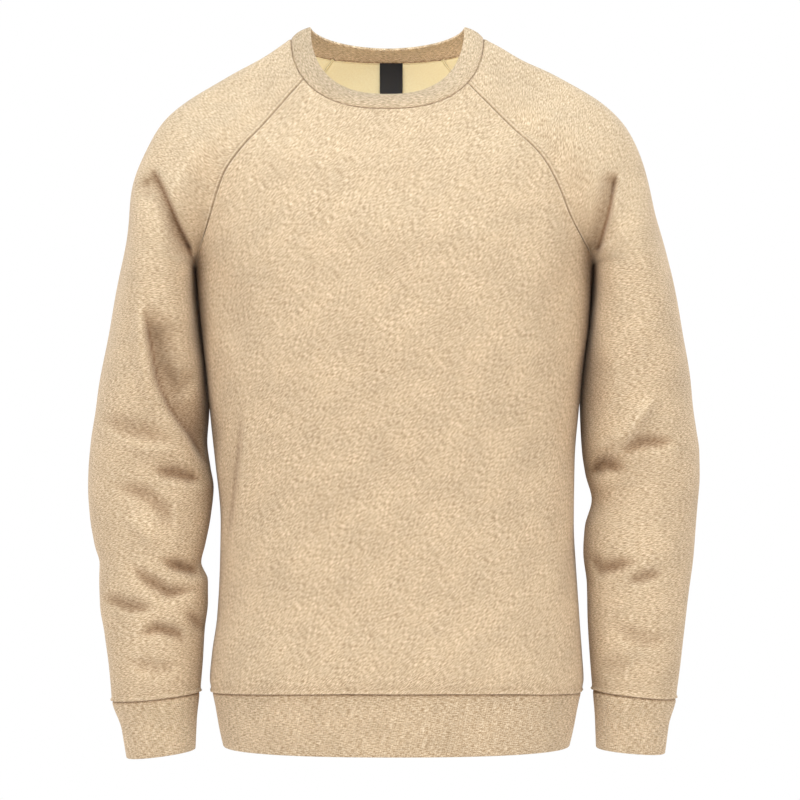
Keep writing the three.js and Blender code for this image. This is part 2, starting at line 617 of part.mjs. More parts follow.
function cuffGrid(side) {
  return spread(BAND_ROWS).map((down) =>
    spread(SLEEVE_COLUMNS).map((share) => cuffPoint(side, down, share)));
}

function hemGrid() {
  const frontSides = spread(FRONT_COLUMNS).map((share) => share * 2 - 1);
  const backSides = spread(BACK_COLUMNS).map((share) => 1 - share * 2);
  return spread(BAND_ROWS).map((down) => [
    ...frontSides.map((side) => hemPoint(down, "front", side)),
    ...backSides.slice(1).map((side) => hemPoint(down, "back", side)),
  ]);
}

// The collar's seam points are the top rows of the four pieces that it is sewn to.
function collarGrid(tops) {
  const ring = [
    ...tops.front,
    ...tops.leftSleeve.slice(1),
    ...[...tops.back].reverse().slice(1),
    ...[...tops.rightSleeve].reverse().slice(1),
  ];
  const angles = ring.map((point) => {
    const isFront = point.y < 0;
    return neckAngle(NECK_SEAM, point.x, isFront);
  });
  return spread(BAND_ROWS).map((up) =>
    ring.map((point, i) => collarPoint(point, angles[i], 1 - up)));
}

const pieces = {
  front: { grid: panelGrid("front", FRONT_COLUMNS), wall: FLEECE_WALL, colour: "fleece", flip: true },
  back: { grid: panelGrid("back", BACK_COLUMNS), wall: FLEECE_WALL, colour: "fleece" },
  sleeve_right: { grid: sleeveGrid("right"), wall: FLEECE_WALL, colour: "fleece",
    closesAt: YOKE_ROWS },
  sleeve_left: { grid: sleeveGrid("left"), wall: FLEECE_WALL, colour: "fleece",
    closesAt: YOKE_ROWS, flip: true },
  cuff_right: { grid: cuffGrid("right"), wall: RIB_WALL, colour: "rib", closesAt: 0 },
  cuff_left: { grid: cuffGrid("left"), wall: RIB_WALL, colour: "rib", closesAt: 0, flip: true },
  hem_band: { grid: hemGrid(), wall: RIB_WALL, colour: "rib", closesAt: 0, flip: true },
};
pieces.collar_rib = {
  grid: collarGrid({
    front: pieces.front.grid[0],
    leftSleeve: pieces.sleeve_left.grid[0],
    back: pieces.back.grid[0],
    rightSleeve: pieces.sleeve_right.grid[0],
  }),
  wall: RIB_WALL, colour: "rib", closesAt: 0, flip: true,
};
for (const piece of Object.values(pieces)) {
  piece.closesAt ??= Infinity;
  for (let row = 0; row < piece.grid.length; row += 1) {
    if (row >= piece.closesAt) piece.grid[row][piece.grid[row].length - 1] = piece.grid[row][0];
  }
}

const keyOf = (point) => [point.x, point.y, point.z].map((v) => Math.round(v * 100)).join(" ");

// Normals of one piece's own faces, added up at each of its points.
function addNormals(piece, sums) {
  const { grid } = piece;
  for (let row = 0; row < grid.length - 1; row += 1) {
    for (let column = 0; column < grid[row].length - 1; column += 1) {
      const corners = [grid[row][column], grid[row][column + 1],
        grid[row + 1][column + 1], grid[row + 1][column]];
      const across = corners[2].clone().sub(corners[0]);
      const other = corners[3].clone().sub(corners[1]);
      const normal = across.cross(other).multiplyScalar(piece.flip ? -1 : 1);
      for (const corner of corners) {
        const key = keyOf(corner);
        if (!sums.has(key)) sums.set(key, new THREE.Vector3());
        sums.get(key).add(normal);
      }
    }
  }
}

// Normals shared in equal parts by all pieces that meet at a point. The underarm looks down.
function sharedNormals() {
  const sums = new Map();
  for (const piece of Object.values(pieces)) {
    const own = new Map();
    addNormals(piece, own);
    for (const [key, normal] of own) {
      if (!sums.has(key)) sums.set(key, new THREE.Vector3());
      sums.get(key).add(normal.normalize());
    }
  }
  for (const sum of sums.values()) sum.normalize();
  for (const name of ["sleeve_right", "sleeve_left"]) {
    sums.set(keyOf(pieces[name].grid[YOKE_ROWS][0]), new THREE.Vector3(0, 0, -1));
  }
  return sums;
}

function applyFolds() {
  const normals = sharedNormals();
  for (const piece of Object.values(pieces)) {
    const moved = new Map();
    piece.grid = piece.grid.map((row) => row.map((point) => {
      if (!moved.has(point)) {
        const normal = normals.get(keyOf(point));
        const depth = FOLDS.reduce((sum, fold) =>
          sum + foldDepth(fold, point, normal) * (fold.face === "front" ? 1 : -1), 0);
        moved.set(point, point.clone().setY(point.y + depth));
      }
      return moved.get(point);
    }));
  }
}

// Edge shift of a grid point: half the seam gap, square to the seam, into the piece.
function edgeShift(piece, row, column, normal) {
  const { grid } = piece;
  const lastRow = grid.length - 1;
  const lastColumn = grid[row].length - 1;
  const shift = new THREE.Vector3();
  const addShift = (inside, alongStart, alongEnd) => {
    const way = inside.clone().sub(grid[row][column]);
    const along = alongEnd.clone().sub(alongStart).normalize();
    way.addScaledVector(normal, -way.dot(normal));
    way.addScaledVector(along, -way.dot(along));
    if (way.length() > 0) shift.addScaledVector(way.normalize(), SEAM_GAP / 2);
  };
  const before = grid[row][Math.max(0, column - 1)];
  const after = grid[row][Math.min(lastColumn, column + 1)];
  const above = grid[Math.max(0, row - 1)][column];
  const below = grid[Math.min(lastRow, row + 1)][column];
  if (row === 0) addShift(below, before, after);
  if (row === lastRow) addShift(above, before, after);
  if (row === piece.closesAt && row > 0 && (column === 0 || column === lastColumn)) {
    const inside = grid[row][1].clone().add(grid[row][lastColumn - 1]).multiplyScalar(0.5);
    addShift(inside, above, above.clone().add(normal));
  } else if (row < piece.closesAt) {
    if (column === 0) addShift(after, above, below);
    if (column === lastColumn) addShift(before, above, below);
  }
  return shift;
}

// Outer and inner grids of a piece, mitred on the shared normals.
function wallGrids(piece, normals) {
  const own = new Map();
  addNormals(piece, own);
  const outer = [];
  const inner = [];
  piece.grid.forEach((points, row) => {
    outer.push([]);
    inner.push([]);
    points.forEach((point, column) => {
      if (row >= piece.closesAt && column === points.length - 1) {
        outer[row].push(outer[row][0]);
        inner[row].push(inner[row][0]);
        return;
      }
      const key = keyOf(point);
      const normal = normals.get(key);
      const lean = Math.max(1 / LONGEST_MITRE, own.get(key).clone().normalize().dot(normal));
      const base = point.clone().add(edgeShift(piece, row, column, normal));
      outer[row].push(base);
      inner[row].push(base.clone().addScaledVector(normal, -piece.wall / lean));
    });
  });
  return { outer, inner };
}

// Closed mesh of a wall: both grids, the row rims and the side rims where it stays open.
function wallMesh(name, piece, normals) {
  const { outer, inner } = wallGrids(piece, normals);
  const numbers = new Map();
  const positions = [];
  const triangles = [];
  const numberOf = (point) => {
    if (!numbers.has(point)) {
      numbers.set(point, positions.length / 3);
      positions.push(point.x, point.y, point.z);
    }
    return numbers.get(point);
  };
  const addTriangle = (a, b, c) => triangles.push(a, piece.flip ? c : b, piece.flip ? b : c);
  const addQuad = (...quad) => {
    const [a, b, c, d] = quad.map(numberOf);
    addTriangle(a, b, c);
    addTriangle(a, c, d);
  };
  const lastRow = outer.length - 1;
  const lastColumn = outer[0].length - 1;
  for (let row = 0; row < lastRow; row += 1) {
    for (let column = 0; column < lastColumn; column += 1) {
      addQuad(outer[row][column], outer[row][column + 1],
        outer[row + 1][column + 1], outer[row + 1][column]);
      addQuad(inner[row + 1][column], inner[row + 1][column + 1],
        inner[row][column + 1], inner[row][column]);
    }
    if (row < piece.closesAt) {
      addQuad(outer[row][0], outer[row + 1][0], inner[row + 1][0], inner[row][0]);
      addQuad(outer[row][lastColumn], inner[row][lastColumn],
        inner[row + 1][lastColumn], outer[row + 1][lastColumn]);
    }
  }
  for (let column = 0; column < lastColumn; column += 1) {
    addQuad(inner[0][column], inner[0][column + 1], outer[0][column + 1], outer[0][column]);
    addQuad(outer[lastRow][column], outer[lastRow][column + 1],
      inner[lastRow][column + 1], inner[lastRow][column]);
  }
  const geometry = new THREE.BufferGeometry();
  geometry.setAttribute("position", new THREE.Float32BufferAttribute(positions, 3));
  geometry.setIndex(triangles);
  geometry.computeVertexNormals();
  const material = new THREE.MeshStandardMaterial({
    color: COLOURS[piece.colour], roughness: 0.95, metalness: 0, flatShading: false });
  const mesh = new THREE.Mesh(geometry, material);
  mesh.name = name;
  return mesh;
}

// The label lies inside the back: the panel's own points, moved in past its wall.
function labelPiece() {
  const sideOf = (x) => {
    const edge = pointAt(x < NECK_X ? RIGHT_SEAMS.back : LEFT_SEAMS.back, 0);
    return (x - NECK_X) / Math.abs(edge.x - NECK_X);
  };
  const wide = spread(LABEL.columns).map((share) =>
    mix(LABEL.x - LABEL.halfWidth, LABEL.x + LABEL.halfWidth, share));
  const rows = spread(LABEL.rows).map((share) => mix(LABEL.topAt, LABEL.bottomAt, share));
  const inward = FLEECE_WALL + LABEL.clear;
  const grid = rows.map((at) => wide.map((x) => {
    const point = yokePoint("back", at, sideOf(x) * 0.7);
    const beside = yokePoint("back", at, sideOf(x) * 0.7 + 0.02);
    const lower = yokePoint("back", at + 1, sideOf(x) * 0.7);
    const normal = beside.sub(point).cross(lower.sub(point)).normalize();
    return new THREE.Vector3(x, point.y, point.z).addScaledVector(normal, -inward);
  }));
  return { grid, wall: LABEL_WALL, colour: "label", closesAt: Infinity };
}

applyFolds();
const normals = sharedNormals();
const group = new THREE.Group();
group.name = "crewneck_sweatshirt";
for (const [name, piece] of Object.entries(pieces)) group.add(wallMesh(name, piece, normals));

const label = labelPiece();
const labelNormals = new Map();
addNormals(label, labelNormals);
for (const sum of labelNormals.values()) sum.normalize();
group.add(wallMesh("neck_label", label, labelNormals));

export default group;
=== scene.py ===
"""Looks of a raglan crewneck sweatshirt in heather fleece, in its worn and hollow shape.

The surfaces follow the same sections, seams and rings as the solids, on finer grids.
Tables and lengths are in millimetres and become metres when a mesh is made.
+Z is up, the front faces -Y, and the wearer's left is +X.
"""
import math

import bpy
import numpy as np
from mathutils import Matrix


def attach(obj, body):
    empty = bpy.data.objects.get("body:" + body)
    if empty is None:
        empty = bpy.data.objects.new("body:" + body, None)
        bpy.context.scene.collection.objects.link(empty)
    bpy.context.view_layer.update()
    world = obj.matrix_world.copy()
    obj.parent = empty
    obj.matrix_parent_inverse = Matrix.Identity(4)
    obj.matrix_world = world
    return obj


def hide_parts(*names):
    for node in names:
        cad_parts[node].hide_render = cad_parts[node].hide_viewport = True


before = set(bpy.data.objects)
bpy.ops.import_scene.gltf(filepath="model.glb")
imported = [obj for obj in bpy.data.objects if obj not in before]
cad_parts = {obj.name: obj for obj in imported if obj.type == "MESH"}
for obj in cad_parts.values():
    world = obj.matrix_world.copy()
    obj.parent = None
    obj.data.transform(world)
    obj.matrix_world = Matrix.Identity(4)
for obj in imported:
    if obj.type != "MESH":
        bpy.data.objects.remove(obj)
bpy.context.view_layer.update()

MM = 0.001

# Walls and seams
FLEECE_WALL = 2.0
RIB_WALL = 3.0
LABEL_WALL = 0.5
SEAM_GAP = 0.3
LONGEST_MITRE = 2.0
SEAM_RIDGE_INSIDE = 1.5
SEAM_RIDGE_OFF = 3.2
SEAM_RIDGE_WIDTH = 2.2
THINNEST_EDGE = 0.15
SHARP_ANGLE = 55

# Grid counts of the fine surfaces, and how they crowd towards their two ends
BAND_LENGTHS = dict(cuff=57.0, hem=55.0, collar=25.0)
YOKE_ROWS = 100
BODY_ROWS = 124
ARM_ROWS = 150
FRONT_COLUMNS = 150
BACK_COLUMNS = 130
SLEEVE_COLUMNS = 180
BAND_ROWS = 16
FOLD_ROWS = (1.5, 0.95, 0.45, 0.12, 0.0)
CROWDING = dict(yoke=(1.3, 1.25), body=(1.2, 1.45), arm=(1.2, 1.45), panel=(1.5, 1.5),
                sleeve=(1.35, 1.35), band=(1.3, 1.0))
WELD_PER_MM = 50
WELD_SHIFT = 0.317

# Stations down the raglan seam and the sleeve
UNDERARM = 270.0
CUFF_SEAM = 687.0


def table(names, *rows):
    """Columns of a small table, by name."""
    return {name: np.array(values, float) for name, values in zip(names.split(), zip(*rows))}


# Neck rings: the seam of the collar, and its free edge
NECK_X = -5.4
NECK_SEAM = dict(half_width=95, front_y=-85, back_y=76, side_z=0, front_z=-76.5, back_z=-14,
                 front_power=2.45, back_power=2.2)
NECK_TOP = dict(half_width=75.6, front_y=-74, back_y=59, side_z=12, front_z=-61, back_z=-2,
                front_power=2.5, back_power=1.9)
NECK_SADDLE = 0.12
COLLAR_BULGE = 2.2
COLLAR_LEAN = 0.7
NECK_FADE = 70.0

# Body sections below the underarm
BODY_POWER = 2.35
UNDERARM_Z = -225.0
HEM_SEAM_Z = -642.0
HEM_FRONT_RISE = 7.0
HEM_BOTTOM_Z = -695.5
BODY_SECTIONS = table(
    "z right left front back",
    (-205, 197.0, 199.5, 126.4, 119.9),
    (-225, 194.0, 196.5, 127.4, 120.4),
    (-250, 191.6, 194.8, 128.0, 120.4),
    (-287, 187.8, 191.6, 127.6, 118.0),
    (-347, 181.8, 184.2, 124.0, 110.0),
    (-418, 174.2, 178.2, 118.0, 101.0),
    (-476, 169.0, 177.4, 114.0, 99.0),
    (-519, 169.8, 179.5, 113.0, 102.0),
    (-569, 172.4, 182.8, 114.0, 108.0),
    (-605, 177.5, 185.6, 117.0, 112.0),
    (-630, 179.6, 187.2, 119.0, 114.0),
    (-642, 177.6, 185.0, 116.0, 112.0))
HEM_SECTIONS = table(
    "down right left front back",
    (0.0, 177.6, 185.0, 116.0, 112.0),
    (0.2, 175.2, 182.4, 114.5, 110.0),
    (0.7, 170.4, 177.2, 111.0, 107.0),
    (1.0, 166.8, 173.4, 108.5, 104.5))

# Centre lines of the yoke
CENTRES = {
    "front": table("at x y z", (0, -5.4, -85, -76.5), (90, -3, -104, -122),
                   (180, 0, -120.5, -174), (235, 1, -126.4, -205), (270, 1.2, -127.4, -225),
                   (295, 1.4, -128.0, -250)),
    "back": table("at x y z", (0, -5.4, 76, -14), (90, -3, 99, -83),
                  (180, 0, 115, -155), (235, 1, 120, -198), (270, 1.2, 120.4, -225),
                  (295, 1.4, 120.4, -250)),
}

# How far the chest and back reach out, against their reach at the underarm
REACH = {
    "front": table("at share", (0, 0.4846), (64, 0.765), (108, 0.998), (135, 1.0346),
                   (165, 1.0336), (200, 1.0244), (235, 1.012), (256, 1.0042), (270, 1)),
    "back": table("at share", (0, 0.4584), (60, 0.7645), (120, 0.973), (170, 1.02),
                  (215, 1.011), (250, 1.0036), (270, 1)),
}

# Raglan seams in the front view, and the outer line of each shoulder
RIGHT_SEAMS = {
    "front": table(
        "at x z",
        (0, -86.4, -47), (64, -123, -88), (108, -149.5, -118.5), (132, -161.4, -136),
        (153, -168.8, -155), (189, -177.5, -184), (221, -184.7, -203), (254, -192.2, -220),
        (270, -194, -225.5)),
    "outer": table(
        "at x y z",
        (0, -100.4, 0, 0), (64, -160.6, 3, -36.5), (133, -221.5, 4, -78),
        (156, -235.8, 3, -97.5), (200, -253.0, 1, -141), (236, -259.4, 0, -180),
        (270, -266.0, 0, -219.7), (290, -269.6, 0, -240.5)),
    "back": table(
        "at x z",
        (0, -61.4, -11.8), (60, -100, -62), (120, -136, -112), (170, -160, -150),
        (215, -177, -186), (250, -189.5, -212), (270, -194, -225.5)),
}
LEFT_SEAMS = {
    "front": table(
        "at x z",
        (0, 72.4, -49), (64, 112.8, -91), (108, 144, -122.5), (137, 158.5, -148.4),
        (175, 171.7, -181), (213, 183.9, -202), (250, 194, -217), (270, 196.5, -222.6)),
    "outer": table(
        "at x y z",
        (0, 89.6, 0, 0), (67, 157.6, 3, -34.5), (117, 202.9, 4, -61), (149, 228, 4, -87.3),
        (175, 240.3, 3, -112.3), (228, 256.8, 1, -170.4), (270, 269.6, 0, -219.7),
        (290, 275.4, 0, -241.0)),
    "back": table(
        "at x z",
        (0, 50.6, -11.8), (60, 90, -62), (120, 129, -112), (170, 156, -150),
        (215, 176, -185), (250, 191, -210), (270, 196.5, -222.6)),
}
SEAMS = {"right": RIGHT_SEAMS, "left": LEFT_SEAMS}

# Sleeves below the underarm: the silhouette points of each section
ARMS = {
    "right": table(
        "at inner_x inner_z outer_x outer_z",
        (236, -194.4, -191.5, -259.4, -180.0),
        (270, -194.0, -225.5, -266.0, -219.7), (290, -193.4, -245.5, -269.6, -240.5),
        (331, -189.4, -286.7, -277.3, -281.7), (380, -183.6, -335.9, -288.6, -340.8),
        (410, -182.8, -365.5, -292.6, -365.5), (439, -184.2, -395.0, -297.5, -395.0),
        (467, -180.4, -422.6, -299.5, -422.6), (486, -177.2, -441.3, -300.0, -443.3),
        (513, -180.0, -468.9, -298.5, -468.9), (543, -185.6, -498.4, -292.6, -498.4),
        (560, -189.2, -515.2, -287.2, -516.2), (577, -182.4, -532.9, -287.6, -535.9),
        (597, -182.4, -552.6, -287.6, -556.5), (627, -185.8, -582.2, -283.5, -584.2),
        (656, -187.4, -611.7, -278.6, -616.6), (687, -190.0, -642.2, -275.8, -651.1)),
    "left": table(
        "at inner_x inner_z outer_x outer_z",
        (228, 197.0, -180.6, 256.8, -170.4),
        (270, 196.5, -222.6, 269.6, -219.7), (290, 196.0, -242.6, 275.4, -241.0),
        (334, 192.4, -286.7, 284.8, -286.7), (378, 187.0, -331.0, 291.4, -331.0),
        (403, 185.6, -355.6, 294.5, -355.6), (433, 186.0, -385.2, 299.0, -385.2),
        (453, 187.0, -405.8, 301.0, -405.8), (477, 190.4, -429.5, 301.0, -430.5),
        (500, 196.4, -453.5, 299.6, -455.0), (528, 189.4, -480.7, 297.2, -483.7),
        (553, 187.8, -505.3, 294.8, -505.3), (584, 191.2, -536.8, 290.2, -538.8),
        (617, 191.8, -569.3, 287.2, -572.3), (654, 193.8, -606.8, 283.0, -606.8),
        (687, 196.3, -640.3, 278.0, -648.5)),
}
ARM_DEPTH = table(
    "at front back inner outer",
    (0, -26, 36, 0, 0), (64, -45, 52, 3, 3), (108, -60, 66, 4, 4), (150, -74, 77, 3, 3),
    (190, -84, 85, 2, 2), (230, -90, 89, 0, 0), (270, -92, 91, 0, 0), (296, -90, 91, 14, 1),
    (331, -87, 90, 25, 1), (380, -81, 86, 26, 2), (420, -75, 81, 16, 3), (450, -71, 76, 6, 3),
    (486, -66, 70, 1, 1), (543, -63, 58, -3, -3),
    (597, -61, 48, -7, -7), (656, -56, 38, -9, -9), (687, -50, 32, -9, -9))
SLEEVE_FULLNESS = 0.58
VALLEY_STARTS = 190.0
PRESSED_FULLNESS = 0.76
PRESSED_TO = 360.0
PRESSED_FADE = 120.0
CUT_STEPS = 24
NEXT_TO_SEAM = 0.93

# Free edges of the cuffs
CUFF_ENDS = {
    "right": dict(inner=(-194.0, -698.5), outer=(-261.5, -707.0)),
    "left": dict(inner=(199.4, -697.0), outer=(267.0, -702.5)),
}
CUFF_DEPTH = dict(front=-43, back=25, middle=-9)
CUFF_TURN_IN = 0.35

# Creases in the front view. Depth goes into the cloth, so a ridge has a minus sign.
# A lap rises steeply on the side that its sign names: +1 is left of the path's direction.
# A path is a row of x and z.
FRONT_CREASES = [
    dict(depth=12, width=20, lap=1, ends=0.16,
         path=[(-235, -130), (-221, -154), (-211, -176), (-202, -197), (-192, -226)]),
    dict(depth=6, width=12, path=[(-243, -138), (-233, -168)]),
    dict(depth=-4, width=22, path=[(-222, -136), (-200, -164), (-190, -196)]),
    dict(depth=17, width=42, lap=-1, ends=0.2, dark=0.8,
         path=[(-238, -262), (-233, -298), (-226, -338), (-215, -364), (-197, -392),
               (-182, -416), (-174, -430)]),
    dict(depth=-6, width=14, path=[(-243, -256), (-242, -300), (-236, -342), (-226, -370)]),
    dict(depth=7.5, width=14, path=[(-226, -318), (-208, -344), (-186, -326)]),
    dict(depth=13.5, width=11, path=[(-236, -421), (-206, -427), (-178, -438)]),
    dict(depth=7.5, width=16, path=[(-290, -372), (-258, -382), (-206, -400)]),
    dict(depth=-6, width=13, path=[(-264, -395), (-204, -409)]),
    dict(depth=8.2, width=13, path=[(-276, -436), (-240, -446), (-222, -462), (-211, -494)]),
    dict(depth=-4.5, width=12, path=[(-262, -466), (-238, -482), (-226, -506)]),
    dict(depth=15, width=10, path=[(-228, -508), (-202, -519), (-178, -531)]),
    dict(depth=9.8, width=11, path=[(-258, -512), (-236, -530), (-217, -542), (-184, -540)]),
    dict(depth=8.2, width=11, path=[(-288, -544), (-254, -555), (-226, -558)]),
    dict(depth=7.5, width=9, path=[(-202, -558), (-180, -586)]),
    dict(depth=9, width=10, path=[(-250, -586), (-228, -576), (-211, -581), (-196, -597)]),
    dict(depth=4.5, width=12, path=[(-262, -610), (-222, -616), (-200, -611)]),
    dict(depth=11, width=19, lap=1, ends=0.16,
         path=[(216, -134), (209, -166), (202.5, -194), (196, -220)]),
    dict(depth=9, width=20, path=[(198, -288), (193, -345), (191, -396)]),
    dict(depth=-10.5, width=13, path=[(256, -348), (232, -378), (211, -400), (187, -404)]),
    dict(depth=9, width=11, path=[(214, -408), (238, -395), (278, -397)]),
    dict(depth=16.5, width=11, path=[(185, -431), (206, -416), (228, -422)]),
    dict(depth=-6, width=10, path=[(190, -450), (216, -424)]),
    dict(depth=9.8, width=11, path=[(187, -498), (202, -520), (239, -510)]),
    dict(depth=6.8, width=10, path=[(222, -532), (264, -521)]),
    dict(depth=5.2, width=14, path=[(206, -572), (244, -590), (274, -584)]),
    dict(depth=3.8, width=16, path=[(196, -618), (232, -612)]),
    dict(depth=4, width=26, path=[(-178, -214), (-154, -262), (-146, -322)]),
    dict(depth=4, width=26, path=[(180, -212), (158, -258), (152, -318)]),
    dict(depth=-3.5, width=20, path=[(-140, -346), (-147, -430), (-158, -506)]),
    dict(depth=-3, width=22, path=[(150, -350), (153, -440), (160, -566)]),
    dict(depth=5, width=24, lap=1, path=[(-144, -350), (-149, -404), (-156, -461), (-163, -512)]),
    dict(depth=2, width=34, path=[(-96, -520), (-40, -566), (40, -572)]),
    dict(depth=2, width=30, path=[(-60, -132), (-20, -160), (54, -150)]),
]
BACK_CREASES = [
    dict(depth=12, width=24, lap=1, path=[(-230, -132), (-216, -164), (-204, -196), (-195, -221)]),
    dict(depth=7, width=14, path=[(-290, -400), (-246, -420), (-188, -408)]),
    dict(depth=5, width=12, path=[(-282, -454), (-238, -468), (-192, -450)]),
    dict(depth=-4, width=12, path=[(-270, -428), (-206, -436)]),
    dict(depth=5.5, width=12, path=[(-278, -538), (-236, -557), (-190, -544)]),
    dict(depth=4, width=11, path=[(-252, -588), (-218, -594), (-192, -580)]),
    dict(depth=12, width=24, lap=-1, path=[(230, -126), (216, -160), (205, -192), (197, -218)]),
    dict(depth=7, width=14, path=[(292, -386), (246, -414), (190, -404)]),
    dict(depth=5, width=12, path=[(288, -450), (242, -460), (198, -438)]),
    dict(depth=-4, width=12, path=[(276, -418), (214, -430)]),
    dict(depth=5.5, width=12, path=[(284, -546), (240, -562), (194, -546)]),
    dict(depth=4, width=11, path=[(262, -596), (228, -602), (200, -588)]),
    dict(depth=5, width=26, path=[(-156, -322), (-124, -416), (-90, -446)]),
    dict(depth=5, width=26, path=[(160, -332), (132, -424), (96, -458)]),
    dict(depth=3, width=30, path=[(-70, -470), (0, -492), (72, -478)]),
    dict(depth=3, width=24, path=[(-120, -520), (-60, -548), (10, -552)]),
]
LAP_EDGE = 5.0
LAP_LIP = 0.14
LAP_LIP_FADE = 18.0
LAP_FULL_DEPTH = 10.0
# Width and strength of the painted shade line at the foot of a lap
LAP_LINE = 2.3
LAP_SHADE = 1.0
CREASE_ENDS = 0.38
END_WIDTH = 0.45
CREASE_STARTS = 8.0
CREASE_FADE = 36.0

# Slow waves of worn cloth: height, and how far each axis goes for one radian
FLAT = math.inf
WAVES = [
    dict(height=0.55, lengths=(23, FLAT, 61), start=1.3,
         crossed_by=(FLAT, -29, 37), crossed_start=0),
    dict(height=0.4, lengths=(13, 17, -19), start=0.4,
         crossed_by=(FLAT, FLAT, 53), crossed_start=2.1),
    dict(height=0.3, lengths=(31, FLAT, 15.5), start=0.9),
    dict(height=0.25, lengths=(13.5, 11, -27), start=0),
]
WAVE_FADES = dict(side=30.0, side_least=0.2, top=40.0, top_least=0.1)

# Shade painted into the colour of creases, lap feet and seams: how dark it is
FOLD_SHADE = 0.6
SHADE_FADE = 26.0
SEAM_SHADE = 0.6
SEAM_SHADE_WIDTH = 0.8

# Painted shade of a pressed line in the sleeve beside the raglan seams
PRESSED_SHADE = 0.3
PRESSED_OFF = 4.2
PRESSED_WIDTH = 0.7

# Rolls at the seams: height, distance from the seam and width of each
RAGLAN_ROLL = dict(height=0.6, off=2.6, width=2.0, groove=0.9, groove_width=0.9)
BAND_ROLL = dict(height=1.6, off=1.7, width=1.5, groove=1.2, groove_width=0.8)
NECK_ROLL_SHARE = 0.6
COLLAR_GROOVE = dict(depth=0.7, width=1.0)
RIB_GROOVE = dict(depth=0.9, width=1.2)

# Coverstitch rows beside the raglan seams
STITCH_OFF = 2.4
STITCH_LENGTH = 2.7
STITCH_PITCH = 3.3
STITCH_RADIUS = 0.32
STITCH_GIRTH = (0.45, 1.0, 1.0, 0.45)
STITCH_RINGS = len(STITCH_GIRTH)
STITCH_SIDES = 6
STITCH_RISE = 0.5

LABEL = dict(x=-2.0, half_width=11.5, top_at=0.8, bottom_at=50.0, columns=16, rows=30,
             reach=0.11, clear=0.35, hang=1.2, wave=0.25, wave_length=6.0)

# Patterns of the materials: cells to a metre along each axis, the pattern's place and detail
NOISES = {
    "slub": dict(scale=(230, 1350, 1), detail=3, roughness=0.62),
    "fleck": dict(scale=(230, 1250, 1), offset=(7.3, 2.1, 0)),
    "pale": dict(scale=(240, 1250, 1), offset=(1.7, 9.4, 0)),
    "cloud": dict(scale=(26, 34, 1), offset=(3.1, 5.7, 0), detail=3),
    "fuzz": dict(scale=(1500, 1900, 1), detail=1),
    "loops": dict(scale=(420, 900, 1)),
    "nap": dict(scale=(1300, 1500, 1), detail=1),
    "ply": dict(scale=(1800, 1800, 1800), detail=1),
    "warp": dict(scale=(3200, 260, 1), detail=1),
    "mottle": dict(scale=(3, 3, 3)),
}
BUMPS = {
    "heather": dict(Strength=0.8, Distance=0.001),
    "reverse": dict(Strength=0.5, Distance=0.0006),
    "label": dict(Strength=0.25, Distance=0.0002),
}
FUZZ_SHARE = 0.35
CLOUD_SHARE = 0.7
# Share of painted shade in the rib's furrows
RIB_FURROW_SHADE = 0.5
RIB_HEIGHT = 0.9
RIB_PITCH = 2.4
RIB_TONE = 1.12
# Painted light: the bands' inner side is made brighter than the outer, where it lies in shade
RIB_INSIDE_PAINTED_LIGHT = 1.25

# Colours, as linear light
FLEECE_LIGHT = (0.82, 0.632, 0.432)
FLEECE_MIDDLE = (0.60, 0.428, 0.262)
FLEECE_DARK = (0.33, 0.205, 0.105)
# Colour towards which the painted shade of creases, lap feet, seams and pressed lines darkens the
# fleece
CREASE_SHADE_COLOUR = (0.44, 0.33, 0.26)
REVERSE = (0.98, 0.85, 0.55)
REVERSE_SHADE = (0.94, 0.79, 0.48)
THREAD = (0.84, 0.68, 0.48)
LABEL_BLACK = (0.0035, 0.003, 0.0045)
FLOOR = (0.86, 0.86, 0.86)


def mix(a, b, share):
    """Straight blend of two values."""
    return a + (b - a) * share


def ease(value):
    """Smooth step from 0 to 1, as three squares less two cubes."""
    part = np.clip(value, 0, 1)
    return part * part * (3 - 2 * part)


def crowded(count, start=1.0, end=1.0):
    """Shares from 0 to 1, closer together towards an end whose power is above 1."""
    share = np.linspace(0, 1, count + 1)
    low = 0.5 * (2 * np.minimum(share, 0.5)) ** start
    high = 1 - 0.5 * (2 - 2 * np.maximum(share, 0.5)) ** end
    return np.where(share < 0.5, low, high)


def unit(vectors):
    """Vectors of length one."""
    return vectors / np.maximum(np.linalg.norm(vectors, axis=-1, keepdims=True), 1e-9)


def slopes(x, y):
    """Slope at each row: the weighted harmonic mean of its two sides, or 0 where they turn."""
    step = np.diff(x)
    rate = np.diff(y) / step
    before, after = rate[:-1], rate[1:]
    weight_before = 2 * step[1:] + step[:-1]
    weight_after = step[1:] + 2 * step[:-1]
    same_way = before * after > 0
    safe_before = np.where(same_way, before, 1)
    safe_after = np.where(same_way, after, 1)
    mean = (weight_before + weight_after) / (weight_before / safe_before
                                             + weight_after / safe_after)
    return np.concatenate([rate[:1], np.where(same_way, mean, 0), rate[-1:]])


def look_up(rows, column, place, key="at"):
    """One column of a table at places between its rows, as a smooth cubic."""
    x, y = rows[key], rows[column]
    if x[0] > x[-1]:
        x, y = x[::-1], y[::-1]
    place = np.clip(place, x[0], x[-1])
    row = np.clip(np.searchsorted(x, place, side="right") - 1, 0, len(x) - 2)
    slope = slopes(x, y)
    length = x[row + 1] - x[row]
    t = (place - x[row]) / length
    rest = 1 - t
    return (y[row] * (1 + 2 * t) * rest ** 2 + y[row + 1] * (3 - 2 * t) * t ** 2
            + slope[row] * length * t * rest ** 2 - slope[row + 1] * length * t ** 2 * rest)


def point_at(rows, at):
    """Points of a table of x, y and z, one for each station."""
    return np.stack([look_up(rows, axis, at) for axis in "xyz"], axis=-1)


